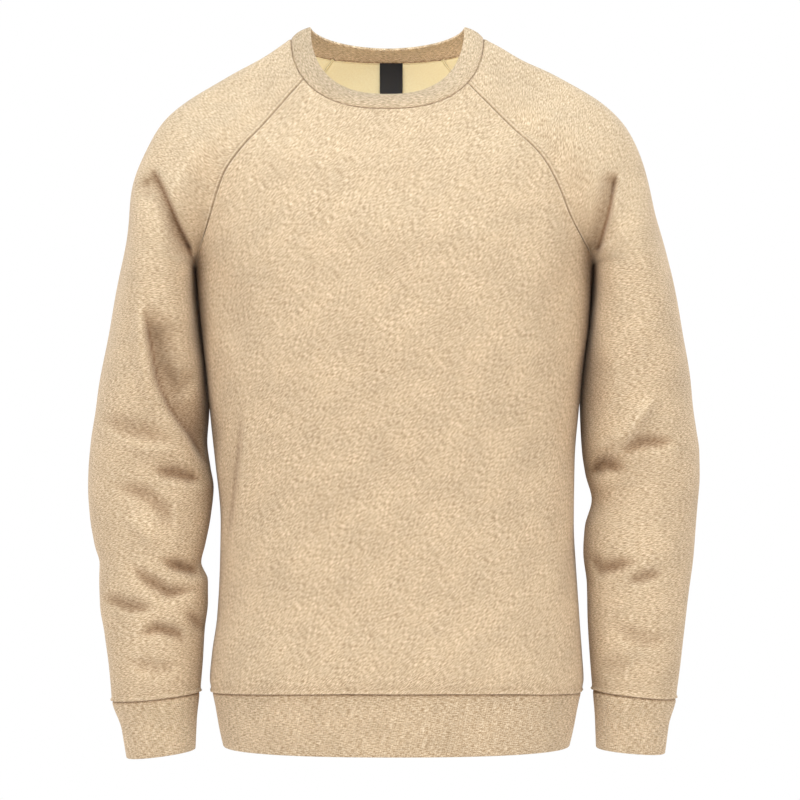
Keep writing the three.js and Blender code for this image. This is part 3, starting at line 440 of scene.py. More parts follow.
def neck_point(ring, angle):
    """Superellipse in plan. Its height falls from the side as the root of depth squared."""
    is_front = np.sin(angle) < 0
    power = 2 / np.where(is_front, ring["front_power"], ring["back_power"])
    across = np.sign(np.cos(angle)) * np.abs(np.cos(angle)) ** power
    deep = np.abs(np.sin(angle)) ** power
    fall = ((np.hypot(deep, NECK_SADDLE) - NECK_SADDLE)
            / (math.hypot(1, NECK_SADDLE) - NECK_SADDLE))
    return np.stack([
        NECK_X + ring["half_width"] * across,
        np.where(is_front, ring["front_y"], ring["back_y"]) * deep,
        mix(ring["side_z"], np.where(is_front, ring["front_z"], ring["back_z"]), fall),
    ], axis=-1)


def neck_angle(ring, x, is_front):
    """Angle at which a neck ring passes x, on its front or its back half."""
    power = np.where(is_front, ring["front_power"], ring["back_power"]) / 2
    across = np.clip((x - NECK_X) / ring["half_width"], -1, 1)
    turn = np.arccos(np.sign(across) * np.abs(across) ** power)
    return np.where(is_front, -turn, turn)


def body_row(centre, edge, share):
    """Half row of a body panel: a superellipse from the centre line, cut off at its edge."""
    depth_share = np.clip(edge[..., 1] / centre[..., 1], 0, 0.999)
    cut = (1 - depth_share ** BODY_POWER) ** (1 / BODY_POWER)
    turn = share * np.arcsin(np.minimum(1, cut ** (BODY_POWER / 2)))
    across = np.sin(turn) ** (2 / BODY_POWER) / cut
    deep = np.abs(np.cos(turn)) ** (2 / BODY_POWER)
    across, deep = np.broadcast_arrays(across, deep)
    return np.stack([
        mix(centre[..., 0], edge[..., 0], across),
        np.where(share == 1, edge[..., 1], centre[..., 1] * deep),
        mix(centre[..., 2], edge[..., 2], across ** 3),
    ], axis=-1)


def seam_points(side, face, at):
    """Raglan seam: its depth is where the panel's superellipse passes the seam's x."""
    rows = SEAMS[side][face]
    centre = point_at(CENTRES[face], at)
    x = look_up(rows, "x", at)
    end = np.array([UNDERARM])
    full = np.abs(look_up(rows, "x", end) - look_up(CENTRES[face], "x", end))
    share = np.abs(x - centre[:, 0]) / (full * look_up(REACH[face], "share", at))
    deep = (1 - np.minimum(share, 1) ** BODY_POWER) ** (1 / BODY_POWER)
    deep = np.where(at < UNDERARM, deep, 0)
    return np.stack([x, centre[:, 1] * deep, look_up(rows, "z", at)], axis=-1)


def yoke_grid(face, at, side):
    """Panel above the underarm: rows by station, columns by share from -1 to 1."""
    halves = []
    for arm, half in (("right", side[side < 0]), ("left", side[side >= 0])):
        share = np.abs(half)[None]
        points = body_row(point_at(CENTRES[face], at)[:, None],
                          seam_points(arm, face, at)[:, None], share)
        start = np.zeros(1)
        top = body_row(point_at(CENTRES[face], start)[:, None],
                       seam_points(arm, face, start)[:, None], share)
        neck = neck_point(NECK_SEAM, neck_angle(NECK_SEAM, top[..., 0], face == "front"))
        halves.append(points + (neck - top) * (1 - ease(at / NECK_FADE))[:, None, None])
    return np.concatenate(halves, axis=1)


def body_grid(face, z, side):
    """Panel below the underarm: rows by height, columns by share from -1 to 1."""
    sign = -1 if face == "front" else 1
    right, left = (look_up(BODY_SECTIONS, name, z, "z") for name in ("right", "left"))
    depth = sign * look_up(BODY_SECTIONS, face, z, "z")
    down = np.clip((z - UNDERARM_Z) / (HEM_SEAM_Z - UNDERARM_Z), 0, 1)
    centre = np.stack([(left - right) / 2, depth, z + HEM_FRONT_RISE * down], axis=-1)
    halves = []
    for arm, edge_x, half in (("right", -right, side[side < 0]),
                              ("left", left, side[side >= 0])):
        edge_z = z + (ARMS[arm]["inner_z"][1] - UNDERARM_Z) * (1 - down)
        edge = np.stack([edge_x, np.zeros_like(z), edge_z], axis=-1)
        halves.append(body_row(centre[:, None], edge[:, None], np.abs(half)[None]))
    return np.concatenate(halves, axis=1)


def hem_grid(down, face, side):
    """Hem band: rows by share down it, columns by share from -1 to 1."""
    sign = -1 if face == "front" else 1
    right, left = (look_up(HEM_SECTIONS, name, down, "down") for name in ("right", "left"))
    depth = sign * look_up(HEM_SECTIONS, face, down, "down")
    centre = np.stack([(left - right) / 2, depth,
                       mix(HEM_SEAM_Z + HEM_FRONT_RISE, HEM_BOTTOM_Z, down)], axis=-1)
    halves = []
    for edge_x, half in ((-right, side[side < 0]), (left, side[side >= 0])):
        edge = np.stack([edge_x, np.zeros_like(down), mix(HEM_SEAM_Z, HEM_BOTTOM_Z, down)],
                        axis=-1)
        halves.append(body_row(centre[:, None], edge[:, None], np.abs(half)[None]))
    return np.concatenate(halves, axis=1)


def arc_points(start, start_way, end, end_way, share, fullness=SLEEVE_FULLNESS):
    """Cubic between two points, with handles a share of the step along each way."""
    step = end - start
    first = start_way * fullness * np.abs((step * start_way).sum(-1, keepdims=True))
    last = end_way * fullness * np.abs((step * end_way).sum(-1, keepdims=True))
    t = np.atleast_2d(share)[..., None]
    rest = 1 - t
    start, first, last, end = (v[:, None] for v in (start, first, last, end))
    return (start * rest ** 3 + 3 * (start + first) * rest ** 2 * t
            + 3 * (end - last) * rest * t ** 2 + end * t ** 3)


def ring_grid(stops, front_way, back_way, tilt, share):
    """Closed or open section through five stops: four cubic quarters."""
    front_seam, arm_front, outer, arm_back, back_seam = stops
    keep = np.stack([np.ones_like(tilt), tilt, np.ones_like(tilt)], axis=-1)
    ways = [front_way, unit((outer - front_seam) * keep), unit(arm_back - arm_front),
            unit((back_seam - outer) * keep), -back_way]
    quarter = np.minimum((share * 4).astype(int), 3)
    parts = [arc_points(stops[i], ways[i], stops[i + 1], ways[i + 1],
                        share[quarter == i] * 4 - i) for i in range(4)]
    return np.concatenate(parts, axis=1)


def turn_progress(t, fullness):
    """How far a quarter turn has gone forward and across at a share t of its cubic."""
    rest = 1 - t
    return (3 * fullness * rest ** 2 * t + 3 * rest * t ** 2 + t ** 3,
            3 * (1 - fullness) * rest * t ** 2 + t ** 3)


def valley_grid(stops, at, share):
    """Section beside the armpit's valley: a whole ring, cut off where it meets the two seams.

    The seam's depth gives the share t of the first quarter turn at which the ring is cut, and
    t gives the ring's own inner line. Pressed to the body, the ring turns more sharply there.
    """
    front_seam, arm_front, outer, arm_back, back_seam = stops
    pressed = valley_share(at) * (1 - ease((at - PRESSED_TO) / PRESSED_FADE))
    fullness = mix(SLEEVE_FULLNESS, PRESSED_FULLNESS, pressed)[:, None]
    above = at < UNDERARM
    parts, cuts, arms, inners = [], [], [], []
    for seam, arm in ((front_seam, arm_front), (back_seam, arm_back)):
        deep = np.where(above, seam[:, 1] / arm[:, 1], 0)[:, None]
        low, high = np.zeros_like(deep), np.ones_like(deep)
        for _ in range(CUT_STEPS):
            middle = (low + high) / 2
            short = turn_progress(middle, fullness)[0] < deep
            low, high = np.where(short, middle, low), np.where(short, high, middle)
        cut = np.where(above, low[:, 0], 0)
        wide = turn_progress(cut[:, None], fullness)[1] / 2
        inner = (seam - outer * wide) / (1 - wide)
        inner[:, 1] = np.where(above, 0, seam[:, 1])
        arm = np.stack([(inner[:, 0] + outer[:, 0]) / 2, arm[:, 1],
                        (inner[:, 2] + outer[:, 2]) / 2], axis=-1)
        cuts.append(cut[:, None])
        arms.append(arm)
        inners.append(inner)
    ahead = np.tile([0.0, -1.0, 0.0], (len(at), 1))
    level = np.array([1.0, 0.0, 1.0])
    stops = [inners[0], arms[0], outer, arms[1], inners[1]]
    ways = [ahead, unit((outer - inners[0]) * level), unit(arms[1] - arms[0]),
            unit((inners[1] - outer) * level), ahead]
    quarter = np.minimum((share * 4).astype(int), 3)
    for i in range(4):
        part = (share[quarter == i] * 4 - i)[None]
        if i == 0:
            part = cuts[0] + (1 - cuts[0]) * part
        elif i == 3:
            part = (1 - cuts[1]) * part
        full = fullness if i in (0, 3) else SLEEVE_FULLNESS
        parts.append(arc_points(stops[i], ways[i], stops[i + 1], ways[i + 1], part, full))
    points = np.concatenate(parts, axis=1)
    points[:, 0] = front_seam
    points[:, -1] = back_seam
    return points


def sleeve_stops(side, at):
    """Front seam, arm front, outer line, arm back and back seam of each section."""
    arm = ARMS[side]
    below = (at >= UNDERARM)[:, None]
    inner, far = (np.stack([look_up(arm, line + "_x", at), look_up(ARM_DEPTH, line, at),
                            look_up(arm, line + "_z", at)], -1) for line in ("inner", "outer"))
    front_seam = np.where(below, inner, seam_points(side, "front", at))
    back_seam = np.where(below, inner, seam_points(side, "back", at))
    outer = np.where(below, far, point_at(SEAMS[side]["outer"], at))
    arm_front = (front_seam + outer) / 2
    arm_back = (back_seam + outer) / 2
    arm_front[:, 1] = look_up(ARM_DEPTH, "front", at)
    arm_back[:, 1] = look_up(ARM_DEPTH, "back", at)
    return front_seam, arm_front, outer, arm_back, back_seam


def valley_share(at):
    """How far the armpit's valley has formed, from 0 above it to 1 at the underarm."""
    return ease((at - VALLEY_STARTS) / (UNDERARM - VALLEY_STARTS))


def seam_way(side, face, at):
    """Way in which the sleeve leaves its seam: level with the chest, then straight forward."""
    sign = -1.0 if side == "right" else 1.0
    forward = np.array([0.0, -1.0 if face == "front" else 1.0, 0.0])
    pair = np.sort(np.array([sign, sign * NEXT_TO_SEAM]))
    points = yoke_grid(face, np.minimum(at, UNDERARM), pair)
    edge, inside = (points[:, 0], points[:, 1]) if side == "right" else (points[:, 1], points[:, 0])
    return unit(mix(unit(edge - inside), forward, valley_share(at)[:, None]))


def sleeve_grid(side, at, share):
    """Sleeve: rows by station, columns from the front seam over the outer line to the back."""
    def sections(stations):
        stops = sleeve_stops(side, stations)
        turned = valley_share(stations)
        ring = ring_grid(stops, seam_way(side, "front", stations),
                         seam_way(side, "back", stations), 1 - turned, share)
        return mix(ring, valley_grid(stops, stations, share), turned[:, None, None])
    points = sections(at)
    start = np.zeros(1)
    top = sections(start)
    stops = sleeve_stops(side, start)
    front_angle = neck_angle(NECK_SEAM, stops[0][0, 0], True)
    back_angle = neck_angle(NECK_SEAM, stops[4][0, 0], False)
    begin = front_angle + 2 * math.pi if side == "right" else front_angle
    neck = neck_point(NECK_SEAM, mix(begin, back_angle, share))[None]
    return points + (neck - top) * (1 - ease(at / NECK_FADE))[:, None, None]


def cuff_grid(side, down, share):
    """Cuff: the last sleeve section, drawn in towards the free edge."""
    top = [stop[0] for stop in sleeve_stops(side, np.array([CUFF_SEAM]))]
    ends = CUFF_ENDS[side]
    inner = np.array([ends["inner"][0], CUFF_DEPTH["middle"], ends["inner"][1]])
    outer = np.array([ends["outer"][0], CUFF_DEPTH["middle"], ends["outer"][1]])
    arm_front, arm_back = (inner + outer) / 2, (inner + outer) / 2
    arm_front[1], arm_back[1] = CUFF_DEPTH["front"], CUFF_DEPTH["back"]
    bottom = [inner, arm_front, outer, arm_back, inner]
    narrowed = mix(down, ease(down * 2), CUFF_TURN_IN)[:, None]
    stops = []
    for high, low in zip(top, bottom):
        stop = mix(high[None], low[None], narrowed)
        stop[:, 2] = mix(high[2], low[2], down)
        stops.append(stop)
    forward = np.tile([0.0, -1.0, 0.0], (len(down), 1))
    return ring_grid(stops, forward, -forward, np.zeros(len(down)), share)


def collar_grid(tops, up):
    """Collar: straight from the seam ring to the free edge, bowed out by half a sine."""
    ring = np.concatenate([tops["front"], tops["sleeve_left"][1:], tops["back"][::-1][1:],
                           tops["sleeve_right"][::-1][1:]])
    angle = neck_angle(NECK_SEAM, ring[:, 0], ring[:, 1] < 0)
    top = neck_point(NECK_TOP, angle)
    share = up[:, None, None]
    points = mix(ring[None], top[None], share)
    outward = points - np.array([NECK_X, 0, 0])
    outward[..., 2] = 0
    outward = unit(outward)
    outward[..., 2] = COLLAR_LEAN
    return points + unit(outward) * COLLAR_BULGE * np.sin(math.pi * share)


def band_rows(length):
    """Shares down a band: crowded at its seam, and at the turns of its folded free edge."""
    fold = length - np.array(FOLD_ROWS)
    return np.concatenate([fold[0] * crowded(BAND_ROWS, *CROWDING["band"])[:-1], fold]) / length


def all_round(face_front, face_back):
    """Front row from right to left, then the back row from left to right."""
    return np.concatenate([face_front, face_back[:, ::-1][:, 1:]], axis=1)


def base_grids():
    """Every cloth piece's grid of outer points before creases, with how it closes and faces."""
    yoke = UNDERARM * crowded(YOKE_ROWS, *CROWDING["yoke"])
    body = mix(UNDERARM_Z, HEM_SEAM_Z, crowded(BODY_ROWS, *CROWDING["body"]))[1:]
    arm = mix(UNDERARM, CUFF_SEAM, crowded(ARM_ROWS, *CROWDING["arm"]))[1:]
    cuff, hem, collar = (band_rows(length) for length in BAND_LENGTHS.values())
    front_side = 2 * crowded(FRONT_COLUMNS, *CROWDING["panel"]) - 1
    back_side = 2 * crowded(BACK_COLUMNS, *CROWDING["panel"]) - 1
    round_share = crowded(SLEEVE_COLUMNS, *CROWDING["sleeve"])
    pieces = {}
    for face, side in (("front", front_side), ("back", back_side)):
        pieces[face] = dict(
            grid=np.concatenate([yoke_grid(face, yoke, side), body_grid(face, body, side)]),
            closes_at=None, flip=face == "front", wall=FLEECE_WALL)
    for arm_side in ("right", "left"):
        stations = np.concatenate([yoke, arm])
        pieces["sleeve_" + arm_side] = dict(
            grid=sleeve_grid(arm_side, stations, round_share),
            closes_at=YOKE_ROWS, flip=arm_side == "left", wall=FLEECE_WALL)
        pieces["cuff_" + arm_side] = dict(
            grid=cuff_grid(arm_side, cuff, round_share),
            closes_at=0, flip=arm_side == "left", wall=RIB_WALL, free="end")
    pieces["hem_band"] = dict(
        grid=all_round(hem_grid(hem, "front", front_side), hem_grid(hem, "back", back_side)),
        closes_at=0, flip=True, wall=RIB_WALL, free="end")
    tops = {name: pieces[name]["grid"][0]
            for name in ("front", "back", "sleeve_left", "sleeve_right")}
    pieces["collar_rib"] = dict(grid=collar_grid(tops, collar[::-1]), closes_at=0, flip=True,
                                wall=RIB_WALL, free="top")
    return pieces


def own_normals(piece):
    """Sum of the normals of the faces round each grid point, wrapped where the piece closes."""
    grid = piece["grid"]
    normal = np.cross(grid[1:, 1:] - grid[:-1, :-1], grid[1:, :-1] - grid[:-1, 1:])
    if piece["flip"]:
        normal = -normal
    total = np.zeros_like(grid)
    for rows in (slice(None, -1), slice(1, None)):
        for columns in (slice(None, -1), slice(1, None)):
            total[rows, columns] += normal
    if piece["closes_at"] is not None:
        closed = slice(piece["closes_at"], None)
        both = total[closed, 0] + total[closed, -1]
        total[closed, 0] = both
        total[closed, -1] = both
    return unit(total)


def weld_numbers(pieces):
    """A number for each place, shared by all grid points that meet there.

    The shift keeps the rounding clear of the round values that many points have.
    """
    points = np.concatenate([piece["grid"].reshape(-1, 3) for piece in pieces.values()])
    rounded = np.round(points * WELD_PER_MM + WELD_SHIFT).astype(np.int64)
    return np.unique(rounded, axis=0, return_inverse=True)[1].ravel()


def shared_normals(pieces, weld, underarm):
    """Normals shared in equal parts by the pieces that meet. The underarm looks down."""
    own = [own_normals(piece) for piece in pieces.values()]
    flat = np.concatenate([normal.reshape(-1, 3) for normal in own])
    total = np.stack([np.bincount(weld, flat[:, axis]) for axis in range(3)], axis=-1)
    total = unit(total)
    total[underarm] = (0, 0, -1)
    joined = total[weld]
    shared = {}
    start = 0
    for name, normal in zip(pieces, own):
        count = normal.shape[0] * normal.shape[1]
        shared[name] = joined[start:start + count].reshape(normal.shape)
        start += count
    return dict(zip(pieces, own)), shared


def near_path(path, x, z):
    """Distance to a path in the front view, share along it, and the side (+1 is its left)."""
    path = np.array(path, float)
    lengths = np.linalg.norm(np.diff(path, axis=0), axis=1)
    best = np.full(x.shape, np.inf)
    along = np.zeros(x.shape)
    side = np.ones(x.shape)
    walked = 0.0
    for start, end, length in zip(path[:-1], path[1:], lengths):
        way = (end - start) / length
        off_x, off_z = x - start[0], z - start[1]
        run = np.clip(off_x * way[0] + off_z * way[1], 0, length)
        distance = np.hypot(off_x - run * way[0], off_z - run * way[1])
        closer = distance < best
        best = np.where(closer, distance, best)
        along = np.where(closer, (walked + run) / lengths.sum(), along)
        side = np.where(closer, np.sign(way[0] * off_z - way[1] * off_x), side)
        walked += length
    return best, along, side


def crease_depth(crease, face, grid):
    """Depth of one crease: a smooth trough, or a steep step with a lip and a long way back.

    The second result is the shade painted into its colour: more in a steep crease, and most at the
    foot of a lap.
    """
    lap = crease.get("lap", 0)
    ahead = -grid[..., 1] if face == "front" else grid[..., 1]
    facing = ease((ahead - CREASE_STARTS) / CREASE_FADE)
    seen = ease((ahead + SHADE_FADE) / SHADE_FADE)
    distance, along, side = near_path(crease["path"], grid[..., 0], grid[..., 2])
    ends = ease(np.minimum(along, 1 - along) / crease.get("ends", CREASE_ENDS))
    trough = 1 - ease(distance / (crease["width"] * mix(END_WIDTH, 1, ends)))
    if lap:
        steep = side * lap > 0
        step = 1 - ease(distance / LAP_EDGE)
        lip = LAP_LIP * (ease(distance / LAP_EDGE)
                         - ease((distance - LAP_EDGE) / LAP_LIP_FADE))
        trough = np.where(steep, step - np.maximum(lip, 0), trough)
    steepness = crease.get("dark", ease(crease["depth"] / crease["width"]))
    foot = (np.exp(-(distance / LAP_LINE) ** 2) * abs(lap)
            * ease(crease["depth"] / LAP_FULL_DEPTH))
    shade = seen * ends * np.maximum(FOLD_SHADE * steepness * trough, LAP_SHADE * foot)
    return crease["depth"] * facing * ends * trough, shade


def soft_waves(grid):
    """Slow unevenness of worn cloth: sine waves, two of them crossed by a second one."""
    total = np.zeros(grid.shape[:2])
    for wave in WAVES:
        height = wave["height"] * np.sin((grid / wave["lengths"]).sum(-1) + wave["start"])
        if "crossed_by" in wave:
            height = height * np.sin((grid / wave["crossed_by"]).sum(-1) + wave["crossed_start"])
        total += height
    return total


def seam_roll(distance, roll):
    """Outward roll beside a seam, and the groove in which it is sewn."""
    hump = roll["height"] * np.exp(-((distance - roll["off"]) / roll["width"]) ** 2)
    return hump - roll["groove"] * np.exp(-(distance / roll["groove_width"]) ** 2)


def steps_along(grid, axis):
    """Distance walked along the rows or columns of a grid."""
    length = np.linalg.norm(np.diff(grid, axis=axis), axis=-1)
    pad = [(1, 0), (0, 0)] if axis == 0 else [(0, 0), (1, 0)]
    return np.pad(np.cumsum(length, axis=axis), pad)


def groove(distance, shape):
    """Groove in which a band is sewn on."""
    return shape["depth"] * np.exp(-(distance / shape["width"]) ** 2)


def edge_distances(grid):
    """Distance of each point from the nearest side seam or raglan, and from each end."""
    across = steps_along(grid, 1)
    side = np.minimum(across, across[:, -1:] - across)
    down = steps_along(grid, 0)
    return side, down, down[-1:] - down


def shared_mean(pieces, key, weld):
    """One value of each point, averaged where pieces meet."""
    flat = np.concatenate([piece[key].ravel() for piece in pieces.values()])
    mean = (np.bincount(weld, flat) / np.bincount(weld))[weld]
    ends = np.cumsum([piece[key].size for piece in pieces.values()])[:-1]
    return {name: part.reshape(piece[key].shape)
            for (name, piece), part in zip(pieces.items(), np.split(mean, ends))}


def seam_lift(name, piece):
    """Waves, rolls and grooves of one piece, as a height along its normals."""
    side, from_top, from_end = edge_distances(piece["grid"])
    if name == "collar_rib":
        return -groove(from_end, COLLAR_GROOVE)
    if piece["wall"] == RIB_WALL:
        return -groove(from_top, RIB_GROOVE)
    near_side = ease(side / WAVE_FADES["side"] + WAVE_FADES["side_least"])
    near_top = ease(from_top / WAVE_FADES["top"] + WAVE_FADES["top_least"])
    return (soft_waves(piece["grid"]) * near_side * near_top + seam_roll(side, RAGLAN_ROLL)
            + seam_roll(from_end, BAND_ROLL) + seam_roll(from_top, RAGLAN_ROLL) * NECK_ROLL_SHARE)


def shape_pieces(pieces):
    """Adds creases, waves and seam rolls to every grid, alike on both sides of each seam."""
    weld = weld_numbers(pieces)
    starts = np.cumsum([0] + [p["grid"].shape[0] * p["grid"].shape[1] for p in pieces.values()])
    underarm = []
    for i, (name, piece) in enumerate(pieces.items()):
        if name.startswith("sleeve"):
            underarm.append(weld[starts[i] + YOKE_ROWS * piece["grid"].shape[1]])
    _, normals = shared_normals(pieces, weld, underarm)
    for name, piece in pieces.items():
        grid = piece["grid"]
        piece["fold"] = np.zeros(grid.shape[:2])
        piece["sunk"] = np.zeros(grid.shape[:2])
        for face, sign, creases in (("front", 1, FRONT_CREASES), ("back", -1, BACK_CREASES)):
            for crease in creases:
                depth, shade = crease_depth(crease, face, grid)
                piece["sunk"] += sign * depth
                piece["fold"] = np.maximum(piece["fold"], shade)
        piece["lift"] = seam_lift(name, piece)
    lift, sunk = (shared_mean(pieces, key, weld) for key in ("lift", "sunk"))
    for name, piece in pieces.items():
        piece["side"], piece["top"], piece["end"] = edge_distances(piece["grid"])
        piece["grid"] = piece["grid"] + normals[name] * lift[name][..., None]
        piece["grid"][..., 1] += sunk[name]
    return weld, underarm


def edge_shift(piece, normal):
    """Half the seam gap, square to each open edge and into the piece."""
    grid = piece["grid"]
    shift = np.zeros_like(grid)

    def inward(rows, columns, inside, along):
        way = inside - grid[rows, columns]
        way -= normal[rows, columns] * (way * normal[rows, columns]).sum(-1, keepdims=True)
        along = unit(along)
        way -= along * (way * along).sum(-1, keepdims=True)
        shift[rows, columns] += unit(way) * SEAM_GAP / 2

    row_way = np.gradient(grid, axis=1)
    inward(0, slice(None), grid[1], row_way[0])
    inward(-1, slice(None), grid[-2], row_way[-1])
    closes_at = piece["closes_at"]
    open_rows = len(grid) if closes_at is None else closes_at
    if open_rows:
        rows = slice(0, open_rows)
        down_way = np.gradient(grid, axis=0)
        inward(rows, 0, grid[rows, 1], down_way[rows, 0])
        inward(rows, -1, grid[rows, -2], down_way[rows, -1])
    if closes_at:
        inside = (grid[closes_at, 1] + grid[closes_at, -2]) / 2
        away = unit(inside - grid[closes_at, 0]) * SEAM_GAP / 2
        shift[closes_at, 0] = away
        shift[closes_at, -1] = away
    return shift


def wall_points(name, piece, own, normal):
    """Outer and inner grids. The inner one carries the ridge of the sewn-in seam allowance."""
    lean = np.maximum(1 / LONGEST_MITRE, (own * normal).sum(-1))
    outer = piece["grid"] + edge_shift(piece, normal)
    wall = np.full(lean.shape, piece["wall"])
    if "free" in piece:
        radius = piece["wall"] / 2
        near = np.minimum(piece[piece["free"]] / radius, 1)
        thinned = radius * (1 - np.maximum(np.sqrt(1 - (1 - near) ** 2), THINNEST_EDGE))
        outer = outer - normal * thinned[..., None]
        wall = wall - 2 * thinned
    if piece["wall"] == FLEECE_WALL:
        near = np.minimum(np.minimum(piece["side"], piece["top"]), piece["end"])
        wall += SEAM_RIDGE_INSIDE * np.exp(-((near - SEAM_RIDGE_OFF) / SEAM_RIDGE_WIDTH) ** 2)
    inner = outer - normal * (wall / lean)[..., None]
    if piece["closes_at"] is not None:
        closed = slice(piece["closes_at"], None)
        outer[closed, -1] = outer[closed, 0]
        inner[closed, -1] = inner[closed, 0]
    return outer, inner


def wall_faces(shape, closes_at, flip):
    """Quads of a wall over unmerged grid numbers, and which of three surfaces each is on."""
    rows, columns = shape
    number = np.arange(rows * columns).reshape(rows, columns)
    far = number + rows * columns

    def quads(a, b, c, d):
        return np.stack([a, b, c, d], axis=-1).reshape(-1, 4)

    outer = quads(number[:-1, :-1], number[:-1, 1:], number[1:, 1:], number[1:, :-1])
    inner = quads(far[1:, :-1], far[1:, 1:], far[:-1, 1:], far[:-1, :-1])
    rims = [quads(far[0, :-1], far[0, 1:], number[0, 1:], number[0, :-1]),
            quads(number[-1, :-1], number[-1, 1:], far[-1, 1:], far[-1, :-1])]
    open_rows = rows - 1 if closes_at is None else closes_at
    if open_rows:
        a, b = slice(0, open_rows), slice(1, open_rows + 1)
        rims.append(quads(number[a, 0], number[b, 0], far[b, 0], far[a, 0]))
        rims.append(quads(number[a, -1], far[a, -1], far[b, -1], number[b, -1]))
    rim = np.concatenate(rims)
    faces = np.concatenate([outer, inner, rim])
    surface = np.repeat([0, 1, 2], [len(outer), len(inner), len(rim)])
    if flip:
        faces = faces[:, ::-1]
    return faces, surface


def cloth_map(name, piece, turn):
    """Flat cloth coordinates in metres: distance across and down, turned by the knit's angle."""
    grid = piece["grid"]
    middle = grid.shape[1] // 2
    if name in ("front", "back"):
        level = grid * (1, 1, 0)
        across = steps_along(level, 1)
        down = -grid[..., 2]
    else:
        across = steps_along(grid, 1)
        down = np.broadcast_to(steps_along(grid, 0)[:, middle:middle + 1], across.shape)
    across = across - across[:, middle:middle + 1]
    angle = math.radians(turn)
    u = across * math.cos(angle) + down * math.sin(angle)
    v = down * math.cos(angle) - across * math.sin(angle)
    return np.stack([u, v], axis=-1).reshape(-1, 2) * MM


def make_mesh(name, points, faces, surface=None, uv=None, materials=(), shade=None):
    """Mesh object from arrays, with only the points that its faces use."""
    used, loops = np.unique(faces, return_inverse=True)
    loops = loops.ravel()
    mesh = bpy.data.meshes.new(name)
    mesh.vertices.add(len(used))
    mesh.vertices.foreach_set("co", (points[used] * MM).astype(np.float32).ravel())
    mesh.loops.add(len(loops))
    mesh.loops.foreach_set("vertex_index", loops.astype(np.int32))
    mesh.polygons.add(len(faces))
    mesh.polygons.foreach_set("loop_start", np.arange(len(faces), dtype=np.int32) * 4)
    mesh.update(calc_edges=True)
    if surface is not None:
        mesh.polygons.foreach_set("material_index", surface.astype(np.int32))
    if uv is not None:
        layer = mesh.uv_layers.new(name="Cloth")
        layer.uv.foreach_set("vector", uv.astype(np.float32).ravel())
    if shade is not None:
        mesh.attributes.new("Shade", "FLOAT", "POINT").data.foreach_set(
            "value", shade[used].astype(np.float32))
    mesh.polygons.foreach_set("use_smooth", np.ones(len(faces), bool))
    mesh.set_sharp_from_angle(angle=math.radians(SHARP_ANGLE))
    for material in materials:
        mesh.materials.append(material)
    mesh.validate()
    piece = bpy.data.objects.new(name, mesh)
    bpy.context.scene.collection.objects.link(piece)
    return piece


def cloth_piece(name, piece, own, normal, turn, materials):
    """One sewn piece as a closed wall, on the root node, in place of its CAD part."""
    outer, inner = wall_points(name, piece, own, normal)
    piece["outer"], piece["inner"] = outer, inner
    near = np.minimum(np.minimum(piece["side"], piece["top"]), piece["end"])
    if "free" in piece:
        near = piece["top" if piece["free"] == "end" else "end"]
    # Painted shade: a thin dark line at each seam, added to the painted shade of creases and lap
    # feet
    shade = SEAM_SHADE * np.exp(-(near / SEAM_SHADE_WIDTH) ** 2) + piece["fold"]
    # Painted shade of the pressed line beside the raglan seams
    if name.startswith("sleeve"):
        shade[:YOKE_ROWS] += PRESSED_SHADE * np.exp(-((piece["side"][:YOKE_ROWS] - PRESSED_OFF)
                                                      / PRESSED_WIDTH) ** 2)
    shape = outer.shape[:2]
    faces, surface = wall_faces(shape, piece["closes_at"], piece["flip"])
    uv = np.tile(cloth_map(name, piece, turn), (2, 1))[faces.ravel()]
    merged = np.arange(2 * shape[0] * shape[1]).reshape(2, *shape)
    if piece["closes_at"] is not None:
        merged[:, piece["closes_at"]:, -1] = merged[:, piece["closes_at"]:, 0]
    points = np.concatenate([outer.reshape(-1, 3), inner.reshape(-1, 3)])
    made = make_mesh(name + "_cloth", points, merged.ravel()[faces], surface, uv, materials,
                     shade=np.tile(shade.ravel(), 2))
    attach(made, "root")
    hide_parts(name)
    return made


# Materials

def new_material(name, roughness, sheen=0.0):
    """Material with a plain shader, and a short way to add and join nodes."""
    material = bpy.data.materials.new(name)
    material.use_nodes = True
    tree = material.node_tree
    shader = tree.nodes["Principled BSDF"]
    shader.inputs["Roughness"].default_value = roughness
    shader.inputs["Specular IOR Level"].default_value = 0.25
    if sheen:
        shader.inputs["Sheen Weight"].default_value = sheen
        shader.inputs["Sheen Roughness"].default_value = 0.5
        shader.inputs["Sheen Tint"].default_value = (1.0, 0.93, 0.82, 1.0)
    return material, tree, shader


def add_node(tree, kind, inputs=(), **settings):
    """Node with its settings, and its inputs as values or as sockets to join."""
    node = tree.nodes.new(kind)
    for key, value in settings.items():
        setattr(node, key, value)
    for key, value in dict(inputs).items():
        if isinstance(value, bpy.types.NodeSocket):
            tree.links.new(value, node.inputs[key])
        else:
            node.inputs[key].default_value = value
    return node


def ramp(tree, factor, stops):
    """Colour ramp with stops of place and colour or grey."""
    node = add_node(tree, "ShaderNodeValToRGB", {"Fac": factor})
    elements = node.color_ramp.elements
    while len(elements) < len(stops):
        elements.new(0.5)
    for element, (place, colour) in zip(elements, stops):
        colour = (colour,) * 3 if isinstance(colour, (int, float)) else colour
        element.position = place
        element.color = (*colour, 1.0)
    return node.outputs["Color"]


def pattern(tree, place, name):
    """Noise of a row of the table of patterns."""
    return stretched_noise(tree, place, **NOISES[name])


def stretched_noise(tree, place, scale, offset=(0, 0, 0), detail=2.0, roughness=0.55):
    """Noise whose cells are stretched by a scale for each axis."""
    mapped = add_node(tree, "ShaderNodeMapping", {"Vector": place, "Scale": scale,
                                                  "Location": offset})
    noise = add_node(tree, "ShaderNodeTexNoise",
                     {"Vector": mapped.outputs["Vector"], "Scale": 1.0, "Detail": detail,
                      "Roughness": roughness})
    return noise.outputs["Fac"]


